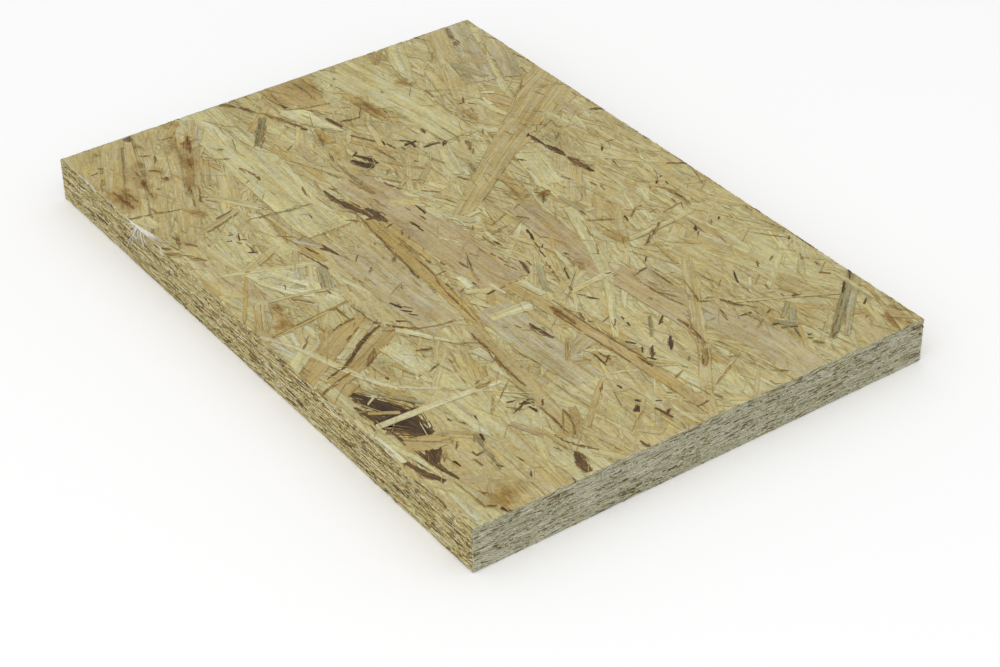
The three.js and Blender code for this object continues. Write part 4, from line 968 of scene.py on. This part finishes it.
def markRows(rng, shade, path, look):
    # a mark is a sheaf of short fibres, darkest in the middle; bark has a solid heart under them
    line, at = alongPath(path, look["barkStep"])
    heading, across = sideways(line)
    rows = []
    if shade in look["barkShades"]:
        heart = line * (1, 1, look["barkHeart"])
        rows.append((shadePlace[shade], heart, look["barkStep"], look["barkSway"]))
    for _ in range(max(3, round(look["markFibres"] * at[-1] * path[:, 2].mean()))):
        reach = min(rng.uniform(*look["markReach"]), at[-1])
        middle = rng.uniform(0, at[-1])
        run = np.array([middle - reach / 2, middle, middle + reach / 2]).clip(0, at[-1])
        off = float(np.clip(rng.normal(0, look["markSpread"]), -0.7, 0.7))
        fibre = np.stack([np.interp(run, at, line[:, k]) for k in range(3)], 1)
        side = np.stack([np.interp(run, at, across[:, k]) for k in range(2)], 1)
        lean = rng.uniform(-look["markLean"], look["markLean"]) * np.array([-1, 0, 1])
        fibre[:, :2] += side * (off * fibre[:, 2] + lean)[:, None]
        fibre[:, 2] = min(rng.uniform(*look["markWidth"]), path[:, 2].max())
        place = shadePlace[shade] + look["markFade"] * (abs(off) + rng.uniform(-0.1, 0.7))
        rows.append((place, fibre, look["markStep"], look["barkSway"]))
    return rows


def layoutRows(rng, strands, marks, look):
    # one row for each strand or fibre: place on the shade ramp, path, step and sway
    rows = []
    for shade, *path in strands:
        path = np.array(path, float).reshape(-1, 3)
        if shade in look["barkShades"]:
            rows += markRows(rng, shade, path, look)
        else:
            rows.append((shadePlace[shade], path, look["step"], look["sway"]))
    for shade, width, *path in marks:
        # a mark is widest in its middle
        spots = np.array(path, float).reshape(-1, 2)
        path, at = alongPath(np.column_stack([spots, np.full(len(spots), width)]), look["barkStep"])
        path[:, 2] *= 0.3 + 0.7 * np.sin(np.linspace(0, 1, len(at)) * math.pi)
        rows += markRows(rng, shade, path, look)
    return rows


def laidPiece(name, groups, material, look):
    # every strand by its own path; the later ones lie higher
    rng = np.random.default_rng(look["seed"])
    points, faces, grain, sides, widths, tones = [], [], [], [], [], []
    for strands, marks, (shallow, deep) in groups:
        rows = layoutRows(rng, strands, marks, look)
        for number, (place, path, step, sway) in enumerate(rows):
            outline, spine, hooks, halves = laidStrand(rng, path, step, sway, look)
            part, partFaces = lensMesh(outline[:, :2], spine[:, :2], hooks, 0, look["keel"])
            sink = deep + (shallow - deep) * (number + 1) / len(rows)
            chance = rng.random()
            border = (look["inset"] + look["border"] * chance) * mm
            part = np.array(part) * mm
            part[:, 0] = part[:, 0].clip(border - halfWidth, halfWidth - border)
            part[:, 1] = part[:, 1].clip(border - halfLength, halfLength - border)
            part[:, 2] += boardHigh.z - sink * mm
            faces += [[i + len(points) for i in face] for face in partFaces]
            points += list(part)
            run = np.concatenate([outline[:, 2:], spine[:, 2:], spine[:, 2:]])
            grain += list(np.column_stack([run[:, :2], np.full(len(run), chance * grainSpread)]))
            sides += list(run[:, 2])
            widths += list(halves[[*hooks, *range(len(halves)), *range(len(halves))]])
            tones += [place + look["shadeJitter"] * rng.uniform(-1, 1)] * len(part)
        print("laid", len(rows), "strands")
    # the baking map is the face itself, laid flat
    flat = np.array([points[i][:2] for face in faces for i in face])
    piece = meshObject(name, points, faces, {
        "grain": ("FLOAT_VECTOR", "POINT", grain),
        "side": ("FLOAT", "POINT", sides),
        "halfWidth": ("FLOAT", "POINT", widths),
        "tone": ("FLOAT", "POINT", tones),
        "OFBake": ("FLOAT2", "CORNER", flat / (2 * halfWidth, 2 * halfLength) + 0.5),
    })
    piece.data.materials.append(material)
    print("laid", name, len(faces), "faces")
    return piece


pieces = [laidPiece("top_strands", [
    (bedStrands, [], layout["bedDepth"]),
    (mainStrands + smallStrands, darkMarks, layout["depth"]),
], topPine, layout)]

# Strewn layers under and between the laid strands: deep wide flakes, slivers, and fine fibres on the surface.
strewnLayers = {
    "flakes": {
        "shape": "flake", "Count": 600, "Seed": 3, "sink": (0.42, 0.55), "Thickness": 0.5 * mm,
        "Length Min": 30 * mm, "Length Max": 95 * mm, "Width Min": 6 * mm, "Width Max": 19 * mm,
        "Small Share": 1.1, "Turn Spread": 0.22, "Tilt": 0.0015, "Drift": 0.35, "Drift Size": 30 * mm,
        "Dark Share": 0.06, "tones": ("tan", "white", "amber", "tan"),
    },
    "slivers": {
        "shape": "sliver", "Count": 1300, "Seed": 50, "sink": (0.2, 0.33), "Thickness": 0.3 * mm,
        "Length Min": 14 * mm, "Length Max": 70 * mm, "Width Min": 0.5 * mm, "Width Max": 5.5 * mm,
        "Small Share": 1.5, "Turn Spread": 0.45, "Tilt": 0.002, "Drift": 0.5, "Drift Size": 22 * mm,
        "Dark Share": 0.12, "tones": ("tan", "white", "amber", "tan"),
    },
    "fibres": {
        "shape": "sliver", "Count": 900, "Seed": 90, "sink": (0.0, 0.03), "Thickness": 0.1 * mm,
        "Length Min": 5 * mm, "Length Max": 20 * mm, "Width Min": 0.12 * mm, "Width Max": 0.5 * mm,
        "Small Share": 1.6, "Turn Spread": 0.45, "Tilt": 0.002, "Drift": 0.4, "Drift Size": 20 * mm,
        "Dark Share": 0.35, "tones": ("tan", "white", "umber", "oak"),
    },
}
faceSides = {
    "top": {"Place": (0, 0, boardHigh.z), "Facing": (0, 0, 0), "Material": topPine, "seedStep": 0},
    "underside": {
        "Place": (0, 0, boardLow.z), "Facing": (0, math.pi, 0), "Material": undersidePine, "seedStep": 400},
}
faceInputs = {"Turn": math.pi / 2, "Border": 0.12 * mm, "Map Low": 0.0, "Map High": 1.0}
toneInputs = ("Tone Low", "Tone High", "Dark Low", "Dark High")


def placed(settings, half, tall):
    # the region that a layer is strewn over and the shapes that it is made of
    settings["Shape Count"] = looseShapes[settings["shape"]]["count"]
    settings["Lowest"] = (-half, -tall, -settings["sink"][1] * mm)
    settings["Highest"] = (half, tall, -settings["sink"][0] * mm)
    return settings


for sideName, side in faceSides.items():
    for layerName, layer in strewnLayers.items():
        settings = {**faceInputs, **layer, **side}
        settings["Seed"] += side["seedStep"]
        settings.update(zip(toneInputs, (shadePlace[shade] for shade in layer["tones"])))
        inset = layout["inset"] * mm
        settings = placed(settings, halfWidth - inset, halfLength - inset)
        pieces.append(strewn(f"{sideName}_{layerName}", shapeMeshes[layer["shape"]], settings))


# The sawn edges: short strips of the strands that the saw cut through, and dark patches between them as
# painted shade of the voids, partly dark resin.
edgeShades = {
    "char": "#372a17", "bark": "#5e4822", "brown": "#866c35", "ochre": "#b49549", "olive": "#a9995c",
    "tan": "#c6b979", "khaki": "#cec38a", "straw": "#d7cc9b", "pale": "#e2dbb2", "white": "#ebe6c9",
}
endShades = {
    "char": "#383122", "bark": "#5f5439", "brown": "#867a55", "ochre": "#a29668", "olive": "#a6a280",
    "grey": "#b1ad90", "mid": "#b8b49a", "light": "#bfbca4", "pale": "#cac7b2", "white": "#d9d6c5",
}
# Sawn end grain and side grain: matt, cut short by the saw, and speckled finer than the pressed face.
sawnLook = {
    **faceLook, "shades": edgeShades, "light": 1.09, "sway": 0.8,
    "bandWidth": 0.7, "bandLength": 4.0, "bandShift": 0.25,
    "ringWidth": 0.4, "ringLength": 1.8, "ringShift": 0.42,
    "fineWidth": 0.32, "fineLength": 0.8, "fineShift": 0.7,
    "mottleSize": 0.5, "mottleShift": 0.85, "cloudSize": 9.0, "cloudShift": 0.25,
    "streakWidth": 0.3, "streakLength": 1.6, "streakShare": 0.42,
    # the lines between the sawn strips are painted shade of the gaps between them, partly resin
    "resinAndShadeLine": 0.22, "resinAndShadeShare": 0.45, "spotSize": 1.6, "roughness": 0.85, "relief": 0.08,
}
# Across the grain the wood is drawn greyer and cooler than along it.
endLook = {
    **sawnLook, "shades": endShades, "light": 1.07, "bandShift": 0.1, "ringShift": 0.32, "fineShift": 0.75,
    # here too the lines between strips are painted shade of the gaps, partly resin
    "mottleShift": 0.75, "streakShare": 0.4, "resinAndShadeShare": 0.42, "spotCells": 0.94,
    "warm": [(0.0, (0.98, 1.01, 1.1)), (1.0, (1.02, 0.985, 0.86))],
    "golden": [(0.0, (0.02, 0.018, 0.015)), (0.1, (0.16, 0.155, 0.14)), (0.23, (0.4, 0.38, 0.33)),
               (0.4, (0.65, 0.63, 0.57)), (0.667, (1.0, 1.0, 1.0)), (1.0, (1.38, 1.44, 1.54))],
}
longPine = strandMaterial("sawn pine strands along the grain", sawnLook)
shortPine = strandMaterial("sawn pine strands across the grain", endLook)
edgePlace = shadePlaces(edgeShades)
edgeInputs = {
    "shape": "strip", "Turn": 0.0, "Tilt": 0.002, "Border": 0.08 * mm, "Drift": 0.35, "Drift Size": 4 * mm,
}
edgeLayers = {
    "strips": {
        "Length Min": 0.7 * mm, "Width Min": 0.18 * mm,
        "Small Share": 1.9, "Thickness": 0.4 * mm, "Turn Spread": 0.08, "sink": (0.03, 0.22), "seedStep": 0,
    },
    # dark patches that paint the shade of the voids between the strips, partly dark resin
    "resinAndShadePits": {
        "Length Min": 0.4 * mm, "Length Max": 2.0 * mm, "Width Min": 0.14 * mm, "Width Max": 0.48 * mm,
        "Small Share": 1.3, "Thickness": 0.1 * mm, "Turn Spread": 0.2, "sink": (0.0, 0.02), "seedStep": 15,
        "Tone Low": edgePlace["char"], "Tone High": edgePlace["brown"], "Dark Share": 0.3,
        "Dark Low": edgePlace["brown"], "Dark High": edgePlace["ochre"],
    },
}
sawnEdges = {
    "long_edges": {
        "half": halfLength, "out": halfWidth, "turns": (math.pi / 2, -math.pi / 2), "Material": longPine,
        "strips": 4950, "resinAndShadePits": 1080, "Length Max": 15 * mm, "Width Max": 0.9 * mm,
        "Tone Low": 0.48, "Tone High": 0.88, "Dark Share": 0.14, "Dark Low": 0.1, "Dark High": 0.4,
        "Seed": 700,
    },
    "short_edges": {
        "half": halfWidth, "out": halfLength, "turns": (0, math.pi), "Material": shortPine,
        "strips": 5500, "resinAndShadePits": 560, "Length Max": 12 * mm, "Width Max": 1.05 * mm,
        "Tone Low": 0.5, "Tone High": 0.86, "Dark Share": 0.07, "Dark Low": 0.18, "Dark High": 0.42,
        "Seed": 800,
    },
}
edgeMargin = 0.1 * mm  # the strips stop this far short of the two faces
edgeSeedStep = 30  # between the seeds of two opposite edges


def joined(name, parts):
    bpy.ops.object.select_all(action="DESELECT")
    for part in parts:
        part.select_set(True)
    bpy.context.view_layer.objects.active = parts[0]
    bpy.ops.object.join()
    parts[0].name = name
    return parts[0]


for edgeName, edge in sawnEdges.items():
    parts = []
    for number, turn in enumerate(edge["turns"]):
        facing = Matrix.Rotation(turn, 4, "Z") @ Matrix.Rotation(math.pi / 2, 4, "X")
        outward = facing.to_3x3() @ Vector((0, 0, 1))
        middle = outward * edge["out"] + Vector((0, 0, (boardLow.z + boardHigh.z) / 2))
        for layerName, layer in edgeLayers.items():
            settings = {**edgeInputs, **edge, **layer, "Count": edge[layerName]}
            settings["Seed"] = edge["Seed"] + edgeSeedStep * number + layer["seedStep"]
            settings["Facing"], settings["Place"] = tuple(facing.to_euler()), tuple(middle)
            # the two opposite edges share one baking map, half each
            settings["Map Low"], settings["Map High"] = 0.5 * number, 0.5 * number + 0.5
            settings = placed(settings, edge["half"], boardSize.z / 2 - edgeMargin)
            parts.append(strewn(f"{edgeName}_{number}_{layerName}", shapeMeshes["strip"], settings))
    pieces.append(joined(edgeName, parts))

for leftover in shapeMeshes.values():
    bpy.data.objects.remove(leftover)


# The imported core that shows in the gaps, rough and dark as painted shade of the gaps, partly resin; its
# sizes are in millimetres.
coreLook = {
    "seed": 5, "sideInset": 0.3, "faceInset": 0.55, "cuts": 30, "rough": 0.08, "bumpSize": 5.0,
    "shades": ("#584a2e", "#938054"), "fleckSize": 1.667, "detail": 3.0, "roughness": 0.85,
}


def fleckedMaterial(name, look):
    # matt, with flecks from the darker to the lighter of its two shades
    material = newMaterial(name)
    tree = material.node_tree
    spot = addNode(tree, "ShaderNodeTexCoord").outputs["Object"]
    flecks = addNode(tree, "ShaderNodeTexNoise", {
        "Vector": spot, "Scale": 1 / (look["fleckSize"] * mm), "Detail": look["detail"]})
    stops = list(zip((noiseLow, noiseHigh), look["shades"]))
    color = addNode(tree, "ShaderNodeValToRGB", {"Fac": flecks.outputs["Fac"]}, stops=stops)
    shader = addNode(tree, "ShaderNodeBsdfPrincipled", {"Base Color": color, "Roughness": look["roughness"]})
    addNode(tree, "ShaderNodeOutputMaterial", {"Surface": shader})
    return material


def coreMesh(look):
    mesh = bpy.data.meshes.new("core")
    build = bmesh.new()
    bmesh.ops.create_cube(build, size=1)
    bmesh.ops.subdivide_edges(build, edges=build.edges[:], cuts=look["cuts"], use_grid_fill=True)
    inset = Vector((look["sideInset"], look["sideInset"], look["faceInset"])) * mm
    middle = (boardLow + boardHigh) / 2
    noise.seed_set(look["seed"])  # without it each run would dent the core in another way
    for vert in build.verts:
        spot = Vector(a * b for a, b in zip(vert.co, boardSize - 2 * inset)) + middle
        dent = noise.noise_vector(spot / (look["bumpSize"] * mm)) * look["rough"] * mm
        vert.co = spot + dent
    build.to_mesh(mesh)
    build.free()
    # its dark flecked colour is painted shade of the gaps between strands, partly resin
    mesh.materials.append(fleckedMaterial("strand core, dark with resin and painted gap shade", look))
    core = bpy.data.objects.new("core", mesh)
    bpy.context.collection.objects.link(core)
    return core


pieces.append(coreMesh(coreLook))
print("core made")


# Bare torn fibres along one top arris: a combed wedge of them, and hairs that hang over the sawn edge.
# They are bare wood, not pressed and not resined: nearly white, and matt.
tornFibres = {
    "seed": 4, "wedge": 52, "wedgeFrom": (74, 84), "wedgeTo": (62, 76), "wedgeRun": 20, "wedgeSpread": 3.4,
    "arris": 14, "arrisFrom": (58, 128), "arrisRun": (3, 9), "radius": (0.08, 0.17), "taper": 0.6,
    "hangsBelow": 1, "hairRadius": 0.2, "hairTaper": 0.5, "step": 0.8, "sides": 5,
    "shades": ("#dad7cb", "#f0eee6"), "fleckSize": 1.111, "detail": 2.0, "roughness": 0.8,
}
# distance along the edge and height, from the arris down
hangingHairs = [
    (78, 17.9, 80.5, 13.5, 84.2, 9.5, 87, 5, 89.4, 0.8), (77, 17.9, 79.6, 14.4, 81.8, 11, 82.2, 8.4),
    (76.4, 17.9, 76.2, 14.6, 78.4, 12.6, 81, 13.4), (75.4, 17.9, 74.2, 15.2, 73, 12.2),
    (74.6, 17.9, 73.6, 14.6, 72.4, 11.6), (79.6, 17.9, 81.4, 16.2, 83.6, 14.8),
    (80.6, 17.9, 82.8, 17, 85, 16.6), (72.6, 17.9, 71.6, 15.6, 71, 14.6),
    (77.6, 17.9, 79.2, 15.6, 79.6, 13.2, 78.2, 11.8),
    (78.8, 17.9, 80, 15.4, 83, 12.6), (60, 17.9, 58.6, 16.6, 57.4, 16.4), (59, 17.9, 57.4, 17.2, 56.2, 17),
]


def fibrePaths(rng, look, hairs):
    # each path is a run of places in millimetres
    left, top = -halfWidth / mm, boardHigh.z / mm
    paths = []
    for _ in range(look["wedge"]):
        start, end = rng.uniform(*look["wedgeFrom"]), rng.uniform(*look["wedgeTo"])
        # the further a fibre reaches from the root of the wedge, the further it may stray from the arris
        out = look["wedgeSpread"] * rng.random() * (look["wedgeFrom"][1] - end) / look["wedgeRun"]
        bow = rng.uniform(-0.3, 0.3)
        middle = (left + 0.25 + out * 0.45 + bow, (start + end) / 2, top + 0.08)
        paths.append([(left + 0.2, start, top), middle, (left + 0.3 + out, end, top + 0.02)])
    for _ in range(look["arris"]):
        start, run = rng.uniform(*look["arrisFrom"]), rng.uniform(*look["arrisRun"])
        side = rng.uniform(-0.1, 0.5)
        middle = (left + side + rng.uniform(-0.1, 0.2), start + run / 2, top + 0.05)
        paths.append([(left + side, start, top), middle,
                      (left + side + rng.uniform(-0.2, 0.3), start + run, top)])
    for hair in hairs:
        spots = np.array(hair).reshape(-1, 2)
        paths.append([(left + 0.5, spots[0, 0], top + 0.05)] + [(left - 0.12, y, z) for y, z in spots])
    return paths


def fibreTubes(name, paths, rng, look):
    points, faces = [], []
    ring = [2 * math.pi * side / look["sides"] for side in range(look["sides"])]
    for path in paths:
        path = np.array(path)
        lengths = np.linalg.norm(np.diff(path, axis=0), axis=1)
        line, at = smoothRun(path, lengths, lambda whole: max(6, int(whole / look["step"])))
        ahead = np.gradient(line, axis=0)
        ahead /= np.linalg.norm(ahead, axis=1)[:, None]
        right = np.cross(ahead, (0.6, 0.1, 0.8))
        right /= np.linalg.norm(right, axis=1)[:, None]
        above = np.cross(right, ahead)
        share = np.linspace(0, 1, len(at))
        radii = rng.uniform(*look["radius"]) * (1 - look["taper"] * share)
        if path[:, 2].min() < boardHigh.z / mm - look["hangsBelow"]:
            radii = look["hairRadius"] * (1 - look["hairTaper"] * share)
        rings = []
        for k in range(len(at)):
            rings.append(range(len(points), len(points) + len(ring)))
            for angle in ring:
                away = right[k] * math.cos(angle) + above[k] * math.sin(angle)
                points.append((line[k] + radii[k] * away) * mm)
        for low, high in zip(rings, rings[1:]):
            faces += [[low[i], low[i - 1], high[i - 1], high[i]] for i in range(len(ring))]
        faces += [list(rings[0]), list(rings[-1])[::-1]]
    tubes = meshObject(name, points, faces)
    build = bmesh.new()
    build.from_mesh(tubes.data)
    bmesh.ops.recalc_face_normals(build, faces=build.faces)
    build.to_mesh(tubes.data)
    build.free()
    tubes.data.materials.append(fleckedMaterial("torn wood fibre", look))
    return tubes


fibreRandom = np.random.default_rng(tornFibres["seed"])
tornPaths = fibrePaths(fibreRandom, tornFibres, hangingHairs)
pieces.append(fibreTubes("torn_fibres", tornPaths, fibreRandom, tornFibres))
print("torn fibres made")

studio = {
    "floorSize": 6.0, "floorDrop": 0.02 * mm, "floorLook": 1.1, "floorBounce": 0.8, "sky": 0.74,
    "keyPower": 10.5, "keySize": 2.2, "keyPlace": (-1.0, -0.8, 1.4),
}


def seenDirectly(tree):
    # 1 where a camera ray, a reflection or a see-through ray meets the white surroundings
    rays = addNode(tree, "ShaderNodeLightPath").outputs
    seen = addNode(tree, "ShaderNodeMath", {0: rays["Is Camera Ray"], 1: rays["Is Glossy Ray"]},
                   operation="MAXIMUM")
    return addNode(tree, "ShaderNodeMath", {0: seen, 1: rays["Is Transmission Ray"]}, operation="MAXIMUM")


def studioFloor(look):
    bpy.ops.mesh.primitive_plane_add(size=look["floorSize"], location=(0, 0, boardLow.z - look["floorDrop"]))
    floor = bpy.context.object
    floor.name = "studioFloor"
    material = newMaterial("white studio floor")
    tree = material.node_tree
    seen = seenDirectly(tree)
    shades = [[look[part]] * 3 + [1] for part in ("floorBounce", "floorLook")]
    color = addNode(tree, "ShaderNodeMix", {0: seen, 1: shades[0], 2: shades[1]}, data_type="RGBA")
    shader = addNode(tree, "ShaderNodeBsdfDiffuse", {"Color": color})
    addNode(tree, "ShaderNodeOutputMaterial", {"Surface": shader})
    floor.data.materials.append(material)
    return floor


def studioWorld(look):
    world = bpy.data.worlds.new("studioWorld")
    world.use_nodes = True
    tree = world.node_tree
    tree.nodes.clear()
    seen = seenDirectly(tree)
    strength = addNode(tree, "ShaderNodeMix", {0: seen, 1: look["sky"], 2: 1.0}, data_type="FLOAT")
    sky = addNode(tree, "ShaderNodeBackground", {"Color": (1, 1, 1, 1), "Strength": strength})
    addNode(tree, "ShaderNodeOutputWorld", {"Surface": sky})
    bpy.context.scene.world = world


def softbox(look):
    light = bpy.data.lights.new("softbox", "AREA")
    light.shape = "SQUARE"
    light.size = look["keySize"]
    light.energy = look["keyPower"]
    lamp = bpy.data.objects.new("softbox", light)
    lamp.location = look["keyPlace"]
    lamp.rotation_euler = (-lamp.location).to_track_quat("-Z", "Y").to_euler()
    bpy.context.collection.objects.link(lamp)


studioFloor(studio)
studioWorld(studio)
softbox(studio)

cameraView = {
    "place": (-421.8 * mm, -616.1 * mm, 499.7 * mm), "target": (-20.4 * mm, -47.7 * mm, 9.0 * mm),
    "roll": -0.741, "lens": 86.75, "sensor": 36.0,
}


def studioCamera(look):
    camera = bpy.data.cameras.new("studioCamera")
    camera.lens, camera.sensor_width = look["lens"], look["sensor"]
    camera.clip_start, camera.clip_end = 0.01, 50
    holder = bpy.data.objects.new("studioCamera", camera)
    aim = (Vector(look["target"]) - Vector(look["place"])).to_track_quat("-Z", "Y")
    roll = Matrix.Rotation(math.radians(look["roll"]), 4, "Z")
    holder.matrix_world = Matrix.Translation(look["place"]) @ aim.to_matrix().to_4x4() @ roll
    bpy.context.collection.objects.link(holder)
    bpy.context.scene.camera = holder


studioCamera(cameraView)
bpy.context.scene.view_settings.view_transform = "Standard"
print("studio and camera set up")

for piece in pieces:
    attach(piece, "root")
    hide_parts("osb_panel")

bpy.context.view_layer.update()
for piece in pieces:
    print(piece.name, sum(len(face.vertices) - 2 for face in piece.data.polygons), "triangles")
